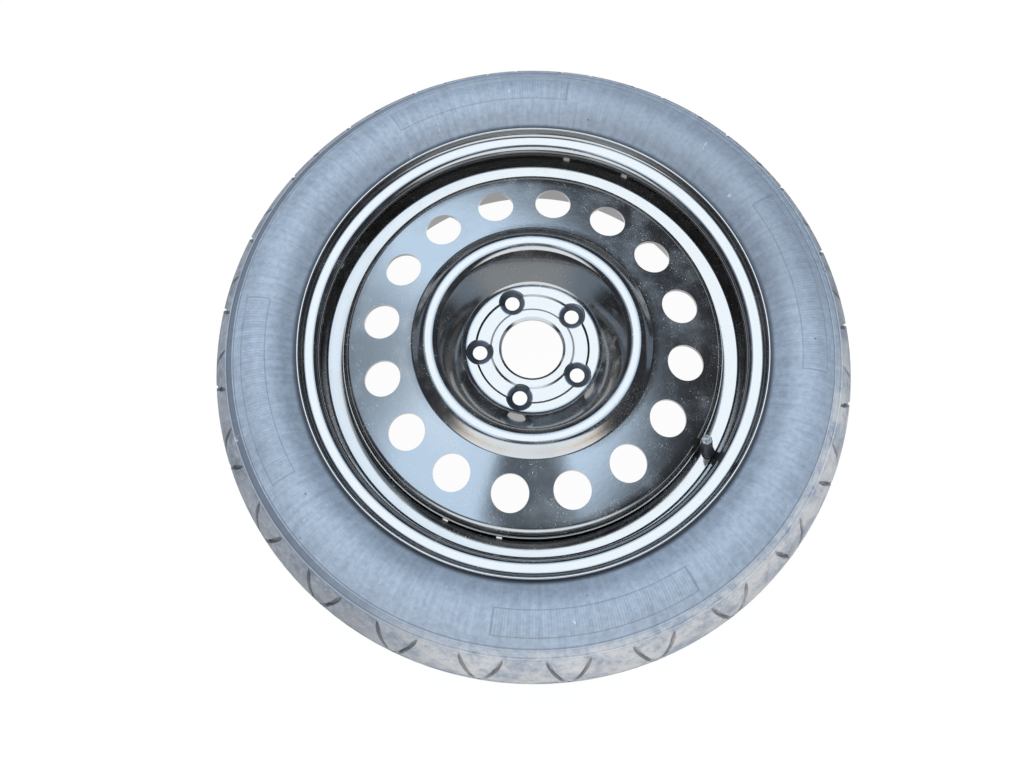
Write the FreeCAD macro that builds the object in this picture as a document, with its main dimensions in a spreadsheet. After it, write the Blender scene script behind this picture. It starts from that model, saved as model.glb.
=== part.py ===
import FreeCAD, Part
import math
import os
import re

import Sketcher

# Temporary spare wheel, lying flat with its street side up. Millimetres and degrees.
# The origin is the wheel's centre: +Z is the wheel's axis and the XY plane is the rim's middle plane.
# In every section the first coordinate is the radius and the second the height.

Vector = FreeCAD.Vector
Rotation = FreeCAD.Rotation

SIZES = {
    # Rim: rolled sheet, sizes on the tyre's side
    "bead_seat_radius": 218.3,
    "rim_half_width": 50.8,
    "rim_sheet": 3.0,
    "flange_height": 17.5,
    "flange_curl": 9.5,
    "flange_lip": 2.2,
    "bead_heel": 6.5,
    "bead_seat_taper": 5.0,
    "outer_seat_end": 19.0,
    "inner_seat_end": 27.0,
    "seat_end_bend": 5.0,
    "shelf_slope": 15.0,
    "well_radius": 195.0,
    "well_inner_end": 20.0,
    "well_bend": 3.0,
    # Disc: pressed sheet, sizes on the street side
    "disc_sheet": 4.5,
    "hub_face": 29.2,
    "hub_bore": 63.4,
    "bore_chamfer": 1.5,
    "hub_recess": 0.8,
    "hub_recess_inner": 45.0,
    "hub_recess_outer": 57.0,
    "hub_edge": 70.0,
    "hub_bend": 10.0,
    "crest_radius": 101.5,
    "crest_height": 74.0,
    "crest_bend": 13.0,
    "foot_radius": 121.0,
    "foot_height": 57.5,
    "foot_bend": 6.0,
    "vent_ring_slope": 14.0,
    "shoulder_bend": 12.0,
    "skirt_end": -6.0,
    "skirt_gap": 0.05,
    "vent_circle": 309.6,
    "vent_diameter": 37.0,
    "vent_count": 16,
    "vent_first_angle": 83.9,
    "lug_circle": 108.0,
    "lug_hole": 15.0,
    "lug_count": 5,
    "lug_first_angle": 114.5,
    "lug_land": 1.0,
    "lug_seat_angle": 30.0,
    "lug_dish": 28.0,
    "drain_width": 8.0,
    "drain_top": 20.0,
    "drain_pair_angle": 8.3,
    "drain_first_angle": -106.0,
    "relief_count": 4,
    "weld_arc": 48.0,
    "weld_leg": 4.0,
    "weld_throat": 2.4,
    # Tyre
    "bead_gap": 0.1,
    "bead_toe": 30.0,
    "tyre_guard": 9.5,
    "sidewall_peak": 88.2,
    "sidewall_peak_radius": 267.0,
    "sidewall_bend": 31.7,
    "ring_radius": 298.4,
    "ring_height": 64.0,
    "shoulder_ring_radius": 306.0,
    "shoulder_ring_height": 59.5,
    "crown_radius": 330.0,
    "tread_arc": 90.0,
    "tread_half_width": 47.0,
    "tread_depth": 5.0,
    "tread_rib": 13.0,
    "tread_groove": 6.0,
    "tread_base": 12.0,
    "liner_shoulder_radius": 309.0,
    "liner_shoulder": 47.0,
    "liner_shoulder_bend": 25.0,
    "liner_side_radius": 272.0,
    "liner_side": 79.5,
    "liner_side_bend": 30.0,
    "liner_bead_radius": 236.0,
    "liner_bead": 46.0,
    "liner_bead_bend": 12.0,
    "slot_count": 24,
    "slot_width": 3.4,
    "slot_lean": 25.0,
    "slot_end": 57.0,
    "slot_first_angle": 101.8,
    # Valve, heights above the shelf along the valve's own axis
    "valve_angle": -29.2,
    "valve_circle": 206.5,
    "valve_hole": 11.5,
    "rubber_gap": 0.03,
    "rubber_height": 25.0,
    "rubber_top": 5.0,
    "rubber_waist": 5.6,
    "rubber_waist_height": 10.0,
    "rubber_bulge": 6.8,
    "rubber_bulge_height": 2.8,
    "rubber_lip": 0.25,
    "rubber_foot": 7.8,
    "rubber_foot_depth": 2.3,
    "rubber_foot_wall": 1.8,
    "rubber_foot_end": 4.6,
    "rubber_tail": 8.0,
    "stem_shank": 3.3,
    "stem_thread": 3.87,
    "stem_height": 34.0,
    "stem_chamfer": 0.5,
    "core_bore": 2.65,
    "air_passage": 1.9,
    "core_seat": 21.0,
    "core_seat_rise": 3.2,
    "core_gap": 0.05,
    "plug_drop": 1.0,
    "plug_length": 5.0,
    "plug_bore": 0.9,
    "plug_flat": 2.8,
    "plug_flat_length": 2.0,
    "barrel_head": 2.3,
    "barrel_neck": 1.55,
    "barrel_bore": 1.1,
    "barrel_lip": 0.9,
    "barrel_end": 17.5,
    "seal_lead": 0.4,
    "pin_radius": 0.45,
    "pin_drop": 0.2,
    "pin_collar_thickness": 0.7,
    "pin_collar_drop": 0.9,
    "cup_radius": 1.5,
    "cup_wall": 0.2,
    "cup_height": 2.0,
    "cup_rim_drop": 0.35,
    "cup_seal_height": 1.0,
    "spring_wire": 0.13,
    "spring_coil": 0.78,
    "spring_turns": 6,
    "cap_radius": 5.4,
    "cap_start": 25.8,
    "cap_height": 12.7,
    "cap_chamfer": 0.8,
    "cap_roof": 3.3,
    "cap_gap": 0.06,
    "cap_seal_bore": 1.6,
    "cap_seal_edge": 0.15,
}

doc = FreeCAD.newDocument("spare_wheel")
sheet = doc.addObject("Spreadsheet::Sheet", "sizes")


def fill_sheet():
    """Write every size into the sheet, one row each, under its own alias."""
    for row, (alias, number) in enumerate(SIZES.items(), start=1):
        sheet.set(f"A{row}", alias)
        sheet.set(f"B{row}", str(number))
        sheet.setAlias(f"B{row}", alias)
    doc.recompute()


def bound(formula):
    """Return a formula on size names as an expression on the sheet's cells."""
    return re.sub(r"[a-z_]+", lambda m: f"sizes.{m[0]}" if m[0] in SIZES else m[0], str(formula))


def value(formula):
    """Return what a formula on size names comes to now."""
    return float(sheet.evalExpression(bound(formula)))


def bind(obj, **formulas):
    """Tie properties of an object to formulas; a double underscore stands for a dot."""
    for name, formula in formulas.items():
        obj.setExpression(name.replace("__", "."), bound(formula))


def place_on_circle(obj, radius, angle, height):
    """Tie an object's place to a radius, an angle and a height, turned to face outwards."""
    obj.Placement.Rotation = Rotation(Vector(0, 0, 1), value(angle))
    bind(
        obj,
        Placement__Base__x=f"({radius}) * cos({angle})",
        Placement__Base__y=f"({radius}) * sin({angle})",
        Placement__Base__z=height,
        Placement__Rotation__Angle=angle,
    )


# Sketches


def section_sketch(name):
    """Return an empty sketch in the plane of radius and height."""
    sketch = doc.addObject("Sketcher::SketchObject", name)
    sketch.Placement = FreeCAD.Placement(Vector(0, 0, 0), Rotation(Vector(1, 0, 0), 90))
    return sketch


def lock(sketch, geometry, end, corner):
    """Hold one end of a piece of geometry at a corner given as two formulas."""
    for kind, formula in zip(("DistanceX", "DistanceY"), corner):
        index = sketch.addConstraint(Sketcher.Constraint(kind, geometry, end, value(formula)))
        sketch.setExpression(f"Constraints[{index}]", bound(formula))


def set_radius(sketch, arc, formula):
    """Tie an arc's radius to a formula."""
    index = sketch.addConstraint(Sketcher.Constraint("Radius", arc, value(formula)))
    sketch.setExpression(f"Constraints[{index}]", bound(formula))


def arc_between(start, end, centre):
    """Return the short arc from start to end, and which of its ends lies at start."""
    first = math.atan2(start.y - centre.y, start.x - centre.x)
    last = math.atan2(end.y - centre.y, end.x - centre.x)
    circle = Part.Circle(centre, Vector(0, 0, 1), start.distanceToPoint(centre))
    if (last - first) % (2 * math.pi) < math.pi:
        return Part.ArcOfCircle(circle, first, last), 1
    return Part.ArcOfCircle(circle, last, first), 2


def rounded_path(sketch, corners, hold_end=True):
    """Draw straight runs from corner to corner, each rounded by its own radius where it has one.

    A corner is (radius, height) or (radius, height, bend). Returns the first and last lines.
    """
    points = [Vector(value(c[0]), value(c[1]), 0) for c in corners]
    starts = points[:-1]
    ends = points[1:]
    arcs = {}
    for i in range(1, len(corners) - 1):
        if len(corners[i]) == 2:
            continue
        bend = value(corners[i][2])
        back = (points[i - 1] - points[i]).normalize()
        ahead = (points[i + 1] - points[i]).normalize()
        half = back.getAngle(ahead) / 2
        ends[i - 1] = points[i] + back * (bend / math.tan(half))
        starts[i] = points[i] + ahead * (bend / math.tan(half))
        centre = points[i] + (back + ahead).normalize() * (bend / math.sin(half))
        arcs[i] = arc_between(ends[i - 1], starts[i], centre)
    lines = [sketch.addGeometry(Part.LineSegment(a, b)) for a, b in zip(starts, ends)]
    lock(sketch, lines[0], 1, corners[0])
    for i in range(1, len(corners) - 1):
        before, after = lines[i - 1], lines[i]
        if i not in arcs:
            sketch.addConstraint(Sketcher.Constraint("Coincident", before, 2, after, 1))
            lock(sketch, after, 1, corners[i])
            continue
        geometry, near = arcs[i]
        arc = sketch.addGeometry(geometry)
        sketch.addConstraint(Sketcher.Constraint("Tangent", before, 2, arc, near))
        sketch.addConstraint(Sketcher.Constraint("Tangent", arc, 3 - near, after, 1))
        set_radius(sketch, arc, corners[i][2])
        corner = sketch.addGeometry(Part.Point(points[i]), True)
        lock(sketch, corner, 1, corners[i][:2])
        sketch.addConstraint(Sketcher.Constraint("PointOnObject", corner, 1, before))
        sketch.addConstraint(Sketcher.Constraint("PointOnObject", corner, 1, after))
    if hold_end:
        lock(sketch, lines[-1], 2, corners[-1])
    return lines[0], lines[-1]


def polygon(sketch, corners):
    """Draw a closed outline through plain corners."""
    points = [Vector(value(r), value(z), 0) for r, z in corners]
    lines = [sketch.addGeometry(Part.LineSegment(a, b)) for a, b in zip(points, points[1:] + points[:1])]
    for before, after, corner in zip(lines, lines[1:] + lines[:1], corners[1:] + corners[:1]):
        sketch.addConstraint(Sketcher.Constraint("Coincident", before, 2, after, 1))
        lock(sketch, after, 1, corner)


# Solids from sketches and primitives


def revolved(name, source, angle="360"):
    """Turn a section about the wheel's axis."""
    ring = doc.addObject("Part::Revolution", name)
    ring.Source = source
    ring.Axis = Vector(0, 0, 1)
    ring.Solid = True
    bind(ring, Angle=angle)
    return ring


def pressed_sheet(name, corners, thickness):
    """Turn a bent line, thickened to one side, into a ring of sheet metal."""
    line = section_sketch(f"{name}_line")
    rounded_path(line, corners)
    section = doc.addObject("Part::Offset2D", f"{name}_section")
    section.Source = line
    section.Mode = "Skin"
    section.Join = "Intersection"
    section.Fill = True
    bind(section, Value=thickness)
    return revolved(f"{name}_ring", section)


def cut(name, base, tool):
    """Take one shape away from another."""
    result = doc.addObject("Part::Cut", name)
    result.Base = base
    result.Tool = tool
    return result


def joined(name, shapes):
    """Fuse several shapes into one tool."""
    result = doc.addObject("Part::MultiFuse", name)
    result.Shapes = shapes
    return result


def gathered(name, shapes):
    """Gather separate shapes in one object."""
    result = doc.addObject("Part::Compound", name)
    result.Links = shapes
    return result


def cylinder(name, radius, height):
    """Return an upright cylinder."""
    result = doc.addObject("Part::Cylinder", name)
    bind(result, Radius=radius, Height=height)
    return result


def turned_body(name, corners):
    """Return a body turned about its own Z axis from a closed outline."""
    body = doc.addObject("PartDesign::Body", name)
    outline = body.newObject("Sketcher::SketchObject", f"{name}_outline")
    planes = {feature.Role: feature for feature in body.Origin.OriginFeatures}
    outline.AttachmentSupport = (planes["XZ_Plane"], [""])
    outline.MapMode = "FlatFace"
    polygon(outline, corners)
    turn = body.newObject("PartDesign::Revolution", f"{name}_turn")
    turn.Profile = outline
    turn.ReferenceAxis = (outline, ["V_Axis"])
    turn.Angle = 360
    body.Tip = turn
    return body


# Rim

FLANGE_RADIUS = "(bead_seat_radius + flange_height)"
LIP_HEIGHT = "(rim_half_width + flange_curl + flange_lip)"
OUTER_SEAT_RADIUS = "(bead_seat_radius - (rim_half_width - outer_seat_end) * tan(bead_seat_taper))"
INNER_SEAT_RADIUS = "(bead_seat_radius - (rim_half_width - inner_seat_end) * tan(bead_seat_taper))"
WELL_OUTSIDE = "(well_radius + rim_sheet)"
SHELF_INNER_END = f"(outer_seat_end - ({OUTER_SEAT_RADIUS} - {WELL_OUTSIDE}) * tan(shelf_slope))"
SHELF_OVER_VALVE = f"(outer_seat_end - ({OUTER_SEAT_RADIUS} - valve_circle) * tan(shelf_slope))"
SHELF_AT_VALVE = f"({SHELF_OVER_VALVE} + rim_sheet / cos(shelf_slope))"


def valve_placement():
    """Return the place of the valve: upright on the shelf, so leaning towards the wheel's axis."""
    angle = math.radians(value("valve_angle"))
    radius = value("valve_circle")
    foot = Vector(radius * math.cos(angle), radius * math.sin(angle), value(SHELF_AT_VALVE))
    turn = Rotation(Vector(0, 0, 1), value("valve_angle"))
    lean = Rotation(Vector(0, 1, 0), -value("shelf_slope"))
    return FreeCAD.Placement(foot, turn * lean)


def make_rim():
    """Roll the rim from one sheet and pierce its valve hole."""
    corners = [
        (FLANGE_RADIUS, LIP_HEIGHT),
        (FLANGE_RADIUS, "rim_half_width", "flange_curl"),
        ("bead_seat_radius", "rim_half_width", "bead_heel"),
        (OUTER_SEAT_RADIUS, "outer_seat_end", "seat_end_bend"),
        (WELL_OUTSIDE, SHELF_INNER_END, "well_bend"),
        (WELL_OUTSIDE, "-well_inner_end", "well_bend"),
        (INNER_SEAT_RADIUS, "-inner_seat_end", "seat_end_bend"),
        ("bead_seat_radius", "-rim_half_width", "bead_heel"),
        (FLANGE_RADIUS, "-rim_half_width", "flange_curl"),
        (FLANGE_RADIUS, f"-{LIP_HEIGHT}"),
    ]
    ring = pressed_sheet("rim", corners, "-rim_sheet")
    hole = cylinder("valve_hole_tool", "valve_hole / 2", "4 * rim_sheet")
    below = FreeCAD.Placement(Vector(0, 0, -2 * value("rim_sheet")), Rotation())
    hole.Placement = valve_placement() * below
    return cut("rim_with_hole", ring, hole)


# Disc

SKIRT_RADIUS = "(well_radius - skirt_gap)"
HUB_BACK = "(hub_face - disc_sheet)"
SHOULDER_HEIGHT = f"(foot_height - ({SKIRT_RADIUS} - foot_radius) * tan(vent_ring_slope))"
LUG_CONE_RISE = "(disc_sheet - hub_recess - lug_land)"


def vent_tools():
    """Return one punch for each vent."""
    tools = []
    for i in range(int(value("vent_count"))):
        punch = cylinder(f"vent_tool_{i}", "vent_diameter / 2", "2 * foot_height")
        place_on_circle(punch, "vent_circle / 2", f"vent_first_angle + {i} * 360 / vent_count", "0")
        tools.append(punch)
    return tools


def lug_tools():
    """Return, for each lug hole, its drill, its cone seat and its wrench dish as one tool."""
    tools = []
    for i in range(int(value("lug_count"))):
        angle = f"lug_first_angle + {i} * 360 / lug_count"
        drill = cylinder(f"lug_drill_{i}", "lug_hole / 2", "2 * disc_sheet")
        place_on_circle(drill, "lug_circle / 2", angle, f"{HUB_BACK} - disc_sheet / 2")
        seat = doc.addObject("Part::Cone", f"lug_seat_{i}")
        bind(
            seat,
            Radius1="lug_hole / 2",
            Radius2=f"lug_hole / 2 + {LUG_CONE_RISE} * tan(lug_seat_angle)",
            Height=LUG_CONE_RISE,
        )
        place_on_circle(seat, "lug_circle / 2", angle, f"{HUB_BACK} + lug_land")
        dish = cylinder(f"lug_dish_{i}", "lug_dish / 2", "hub_bend")
        place_on_circle(dish, "lug_circle / 2", angle, "hub_face - hub_recess")
        tools.append(joined(f"lug_tool_{i}", [drill, seat, dish]))
    return tools


def drain_tools():
    """Return the notches in the skirt, a pair in each of its reliefs."""
    tools = []
    for i in range(int(value("relief_count"))):
        for side in (-1, 1):
            notch = doc.addObject("Part::Box", f"drain_tool_{i}_{'left' if side < 0 else 'right'}")
            bind(
                notch,
                Length="4 * disc_sheet",
                Width="drain_width",
                Height="drain_top - 2 * skirt_end",
            )
            middle = f"drain_first_angle + {i} * 360 / relief_count + {side} * drain_pair_angle"
            angle = f"{middle} - asin(drain_width / 2 / ({SKIRT_RADIUS} - 2 * disc_sheet)) / 1 deg"
            place_on_circle(notch, f"{SKIRT_RADIUS} - 2 * disc_sheet", angle, "2 * skirt_end")
            tools.append(notch)
    return tools


def make_disc():
    """Press the disc from one sheet and pierce its bore, vents, lug holes and drains."""
    corners = [
        ("hub_bore / 2", "hub_face"),
        ("hub_recess_inner", "hub_face"),
        ("hub_recess_inner + hub_recess", "hub_face - hub_recess"),
        ("hub_recess_outer - hub_recess", "hub_face - hub_recess"),
        ("hub_recess_outer", "hub_face"),
        ("hub_edge", "hub_face", "hub_bend"),
        ("crest_radius", "crest_height", "crest_bend"),
        ("foot_radius", "foot_height", "foot_bend"),
        (SKIRT_RADIUS, SHOULDER_HEIGHT, "shoulder_bend"),
        (SKIRT_RADIUS, "skirt_end"),
    ]
    pressing = pressed_sheet("disc", corners, "-disc_sheet")
    bore_cone = doc.addObject("Part::Cone", "bore_cone")
    bind(
        bore_cone,
        Radius1="hub_bore / 2",
        Radius2="hub_bore / 2 + bore_chamfer",
        Height="bore_chamfer",
        Placement__Base__z="hub_face - bore_chamfer",
    )
    tools = gathered("disc_tools", [bore_cone] + vent_tools() + lug_tools() + drain_tools())
    return cut("pierced_disc", pressing, tools)


def make_weld_beads():
    """Lay the arcs of weld between the skirt's edge and the well."""
    section = section_sketch("weld_section")
    corners = [
        ("well_radius", "skirt_end"),
        ("well_radius - weld_leg", "skirt_end"),
        ("well_radius - weld_throat", "skirt_end - weld_throat"),
        ("well_radius", "skirt_end - weld_leg"),
    ]
    polygon(section, corners)
    beads = []
    for i in range(int(value("relief_count"))):
        bead = revolved(f"weld_bead_{i}", section, "weld_arc")
        start = f"drain_first_angle + ({i} + 0.5) * 360 / relief_count - weld_arc / 2"
        bead.Placement.Rotation = Rotation(Vector(0, 0, 1), value(start))
        bind(bead, Placement__Rotation__Angle=start)
        beads.append(bead)
    return gathered("weld_group", beads)


# Tyre

BEAD_RADIUS = "(bead_seat_radius + bead_gap)"
BEAD_FACE = "(rim_half_width - bead_gap)"
GUARD_START = "(bead_seat_radius + flange_height - flange_curl + (flange_curl + bead_gap) * tan(22.5))"
TOE_RADIUS = f"({BEAD_RADIUS} - ({BEAD_FACE} - bead_toe) * tan(bead_seat_taper))"


def tread_radius(height):
    """Return the formula of the tread's radius at a height above the wheel's middle plane."""
    return f"(crown_radius - tread_arc + sqrt(tread_arc ^ 2 - ({height}) ^ 2))"


def tread_run(sketch, high, low):
    """Draw the tread's arc from one height down to a lower one; the caller ties its ends."""
    centre = Vector(value("crown_radius - tread_arc"), 0, 0)
    start = Vector(value(tread_radius(high)), value(high), 0)
    end = Vector(value(tread_radius(low)), value(low), 0)
    geometry, near = arc_between(start, end, centre)
    arc = sketch.addGeometry(geometry)
    set_radius(sketch, arc, "tread_arc")
    return arc, near


def tyre_section():
    """Draw the street half of the tyre's section, from bead toe to tread and back along the liner."""
    sketch = section_sketch("tyre_section")
    groove_high = "(tread_rib + tread_groove)"
    groove_floor = "(crown_radius - tread_depth)"
    outside = [
        (TOE_RADIUS, "bead_toe"),
        (BEAD_RADIUS, BEAD_FACE, "bead_heel - bead_gap"),
        (GUARD_START, BEAD_FACE, "flange_curl + bead_gap"),
        (f"{GUARD_START} + tyre_guard", f"{BEAD_FACE} + tyre_guard"),
        ("sidewall_peak_radius", "sidewall_peak", "sidewall_bend"),
        ("ring_radius", "ring_height"),
        ("shoulder_ring_radius", "shoulder_ring_height"),
        (tread_radius("tread_half_width"), "tread_half_width"),
    ]
    toe_line, edge_line = rounded_path(sketch, outside)
    shoulder_arc, near = tread_run(sketch, "tread_half_width", groove_high)
    sketch.addConstraint(Sketcher.Constraint("Coincident", edge_line, 2, shoulder_arc, near))
    groove = [
        (tread_radius(groove_high), groove_high),
        (f"{groove_floor}", groove_high),
        (f"{groove_floor}", "tread_rib"),
        (tread_radius("tread_rib"), "tread_rib"),
    ]
    groove_in, groove_out = rounded_path(sketch, groove)
    sketch.addConstraint(Sketcher.Constraint("Coincident", shoulder_arc, 3 - near, groove_in, 1))
    rib_arc, near = tread_run(sketch, "tread_rib", "0")
    sketch.addConstraint(Sketcher.Constraint("Coincident", groove_out, 2, rib_arc, near))
    liner = [
        ("crown_radius", "0"),
        ("crown_radius - tread_base", "0"),
        ("liner_shoulder_radius", "liner_shoulder", "liner_shoulder_bend"),
        ("liner_side_radius", "liner_side", "liner_side_bend"),
        ("liner_bead_radius", "liner_bead", "liner_bead_bend"),
        (TOE_RADIUS, "bead_toe"),
    ]
    crown_line, bead_line = rounded_path(sketch, liner, hold_end=False)
    sketch.addConstraint(Sketcher.Constraint("Coincident", rib_arc, 3 - near, crown_line, 1))
    sketch.addConstraint(Sketcher.Constraint("Coincident", bead_line, 2, toe_line, 1))
    return sketch


def slot_tools():
    """Return the shoulder slots of the street side, leaning one way and the other by turns."""
    tools = []
    reach = "(2 * tread_depth + slot_width)"
    length = "((slot_end - tread_rib - tread_groove / 2) / cos(slot_lean))"
    hang = FreeCAD.Placement(Vector(0, -value("slot_width") / 2, -value(length)), Rotation())
    for i in range(2 * int(value("slot_count"))):
        side = 1 if i % 2 else -1
        slot = doc.addObject("Part::Box", f"slot_tool_{i}")
        bind(
            slot,
            Length=f"crown_radius - shoulder_ring_radius + {reach}",
            Width="slot_width",
            Height=length,
        )
        angle = value(f"slot_first_angle + {i} * 180 / slot_count")
        top = Vector(value(f"shoulder_ring_radius - {reach} / 2"), 0, value("slot_end"))
        lean = Rotation(Vector(1, 0, 0), side * value("slot_lean"))
        turn = FreeCAD.Placement(Vector(0, 0, 0), Rotation(Vector(0, 0, 1), angle))
        slot.Placement = turn * FreeCAD.Placement(top, lean) * hang
        tools.append(slot)
    return tools


def make_tyre():
    """Turn half the tyre, cut its shoulder slots down to the tread's depth and mirror it."""
    blank = revolved("tyre_blank", tyre_section())
    floor = doc.addObject("Part::Torus", "slot_floor")
    bind(floor, Radius1="crown_radius - tread_arc", Radius2="tread_arc - tread_depth")
    slots = cut("slot_cutters", gathered("slot_group", slot_tools()), floor)
    street_half = cut("tyre_street_half", blank, slots)
    hidden_half = doc.addObject("Part::Mirroring", "tyre_hidden_half")
    hidden_half.Source = street_half
    hidden_half.Normal = Vector(0, 0, 1)
    whole = doc.addObject("Part::Fuse", "tyre_whole")
    whole.Base = street_half
    whole.Tool = hidden_half
    whole.Refine = True
    return whole


# Valve

RUBBER_END = "(rim_sheet + rubber_tail)"
PLUG_TOP = "(stem_height - plug_drop)"
PLUG_END = f"({PLUG_TOP} - plug_length)"
SEAT_TOP = "(core_seat + core_seat_rise)"
COLLAR_TOP = f"({PLUG_END} - pin_collar_drop)"
CUP_FLOOR = "(barrel_end - core_gap - cup_seal_height)"
CAP_CEILING = "(cap_start + cap_height - cap_roof)"


def make_valve_body():
    """Mould the rubber body: a bulge outside the rim, a neck in the hole and a foot inside."""
    neck = "valve_hole / 2 - rubber_gap"
    inside = "rim_sheet + rubber_gap"
    return turned_body(
        "rubber",
        [
            ("stem_shank", "rubber_height"),
            ("rubber_top", "rubber_height"),
            ("rubber_waist", "rubber_waist_height"),
            ("rubber_bulge", "rubber_bulge_height"),
            ("valve_hole / 2 + rubber_lip", "rubber_gap"),
            (neck, "rubber_gap"),
            (neck, f"-({inside})"),
            ("valve_hole / 2 + rubber_lip", f"-({inside})"),
            ("rubber_foot", f"-({inside} + rubber_foot_depth)"),
            ("rubber_foot", f"-({inside} + rubber_foot_depth + rubber_foot_wall)"),
            ("rubber_foot_end", f"-{RUBBER_END}"),
            ("stem_shank", f"-{RUBBER_END}"),
        ],
    )


def make_valve_stem():
    """Turn the brass insert: a shank in the rubber, a threaded end and the core's bore and seat."""
    return turned_body(
        "stem",
        [
            ("stem_shank", f"-{RUBBER_END}"),
            ("stem_shank", "rubber_height"),
            ("stem_thread", "rubber_height"),
            ("stem_thread", "stem_height - stem_chamfer"),
            ("stem_thread - stem_chamfer", "stem_height"),
            ("core_bore", "stem_height"),
            ("core_bore", SEAT_TOP),
            ("air_passage", "core_seat"),
            ("air_passage", f"-{RUBBER_END}"),
        ],
    )


def make_core_plug():
    """Turn the core's screwed top and mill two flats on it."""
    body = turned_body(
        "plug",
        [
            ("plug_bore", PLUG_END),
            ("core_bore - core_gap", PLUG_END),
            ("core_bore - core_gap", PLUG_TOP),
            ("plug_bore", PLUG_TOP),
        ],
    )
    doc.recompute()
    planes = {feature.Role: feature for feature in body.Origin.OriginFeatures}
    mill = body.newObject("Sketcher::SketchObject", "plug_flats")
    mill.AttachmentSupport = (planes["XY_Plane"], [""])
    mill.MapMode = "FlatFace"
    for side in (-1, 1):
        near = f"{side} * plug_flat / 2"
        far = f"{side} * 2 * core_bore"
        across = ("-2 * core_bore", "2 * core_bore")
        polygon(mill, [(near, across[0]), (far, across[0]), (far, across[1]), (near, across[1])])
    bind(mill, AttachmentOffset__Base__z=f"{PLUG_TOP} - plug_flat_length")
    flats = body.newObject("PartDesign::Pocket", "plug_milling")
    flats.Profile = mill
    flats.Reversed = True
    bind(flats, Length="2 * plug_flat_length")
    body.Tip = flats
    return body


def make_core_barrel():
    """Turn the barrel: a head above the seal, a thin neck and a lip that guides the pin."""
    return turned_body(
        "barrel",
        [
            ("pin_radius + core_gap", "barrel_end"),
            ("barrel_neck", "barrel_end"),
            ("barrel_neck", f"{SEAT_TOP} + core_gap"),
            ("barrel_head", f"{SEAT_TOP} + core_gap"),
            ("barrel_head", PLUG_END),
            ("barrel_bore", PLUG_END),
            ("barrel_bore", "barrel_end + barrel_lip"),
            ("pin_radius + core_gap", "barrel_end + barrel_lip"),
        ],
    )


def make_core_barrel_seal():
    """Mould the cone seal between the barrel's neck and the stem's seat."""
    taper = "(core_bore - air_passage) / core_seat_rise"
    return turned_body(
        "barrel_ring",
        [
            ("barrel_neck", "core_seat + seal_lead"),
            (f"air_passage + seal_lead * {taper} - core_gap / 2", "core_seat + seal_lead"),
            ("core_bore - core_gap / 2", SEAT_TOP),
            ("barrel_neck", SEAT_TOP),
        ],
    )


def make_core_pin():
    """Turn the pin, with the collar that the spring pushes on."""
    collar = "barrel_bore - core_gap"
    return turned_body(
        "pin",
        [
            ("0", f"{CUP_FLOOR} - cup_height / 2"),
            ("pin_radius", f"{CUP_FLOOR} - cup_height / 2"),
            ("pin_radius", f"{COLLAR_TOP} - pin_collar_thickness"),
            (collar, f"{COLLAR_TOP} - pin_collar_thickness"),
            (collar, COLLAR_TOP),
            ("pin_radius", COLLAR_TOP),
            ("pin_radius", "stem_height - pin_drop"),
            ("0", "stem_height - pin_drop"),
        ],
    )


def make_core_cup():
    """Press the cup that holds the seal at the pin's lower end."""
    bore = "cup_radius - cup_wall"
    return turned_body(
        "cup",
        [
            ("pin_radius", f"{CUP_FLOOR} - cup_height / 2"),
            ("cup_radius", f"{CUP_FLOOR} - cup_height / 2"),
            ("cup_radius", "barrel_end - cup_rim_drop"),
            (bore, "barrel_end - cup_rim_drop"),
            (bore, CUP_FLOOR),
            ("pin_radius", CUP_FLOOR),
        ],
    )


def make_core_cup_seal():
    """Mould the ring that closes on the barrel's end."""
    bore = "cup_radius - cup_wall - core_gap"
    return turned_body(
        "cup_ring",
        [
            ("pin_radius", CUP_FLOOR),
            (bore, CUP_FLOOR),
            (bore, f"{CUP_FLOOR} + cup_seal_height"),
            ("pin_radius", f"{CUP_FLOOR} + cup_seal_height"),
        ],
    )


def make_core_spring():
    """Wind the spring between the barrel's lip and the pin's collar."""
    start = "(barrel_end + barrel_lip + spring_wire + core_gap)"
    length = f"({COLLAR_TOP} - pin_collar_thickness - spring_wire - core_gap - {start})"
    helix = doc.addObject("Part::Helix", "spring_line")
    bind(helix, Radius="spring_coil", Height=length, Pitch=f"{length} / spring_turns")
    wire = doc.addObject("Part::Circle", "spring_wire_section")
    wire.Placement = FreeCAD.Placement(Vector(value("spring_coil"), 0, 0), Rotation(Vector(1, 0, 0), 90))
    bind(wire, Radius="spring_wire")
    doc.recompute()
    coil = doc.addObject("Part::Sweep", "spring_coil_solid")
    coil.Sections = [wire]
    coil.Spine = (helix, ["Edge1"])
    coil.Solid = True
    coil.Frenet = True
    return coil, FreeCAD.Placement(Vector(0, 0, value(start)), Rotation())


def make_valve_cap():
    """Mould the cap, bored to clear the stem's thread."""
    return turned_body(
        "cap",
        [
            ("stem_thread + cap_gap", "cap_start"),
            ("cap_radius", "cap_start"),
            ("cap_radius", "cap_start + cap_height - cap_chamfer"),
            ("cap_radius - cap_chamfer", "cap_start + cap_height"),
            ("0", "cap_start + cap_height"),
            ("0", CAP_CEILING),
            ("stem_thread + cap_gap", CAP_CEILING),
        ],
    )


def make_valve_cap_seal():
    """Mould the ring between the cap's roof and the stem's end."""
    return turned_body(
        "cap_ring",
        [
            ("cap_seal_bore", "stem_height + cap_gap"),
            ("stem_thread - cap_seal_edge", "stem_height + cap_gap"),
            ("stem_thread - cap_seal_edge", CAP_CEILING),
            ("cap_seal_bore", CAP_CEILING),
        ],
    )


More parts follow.
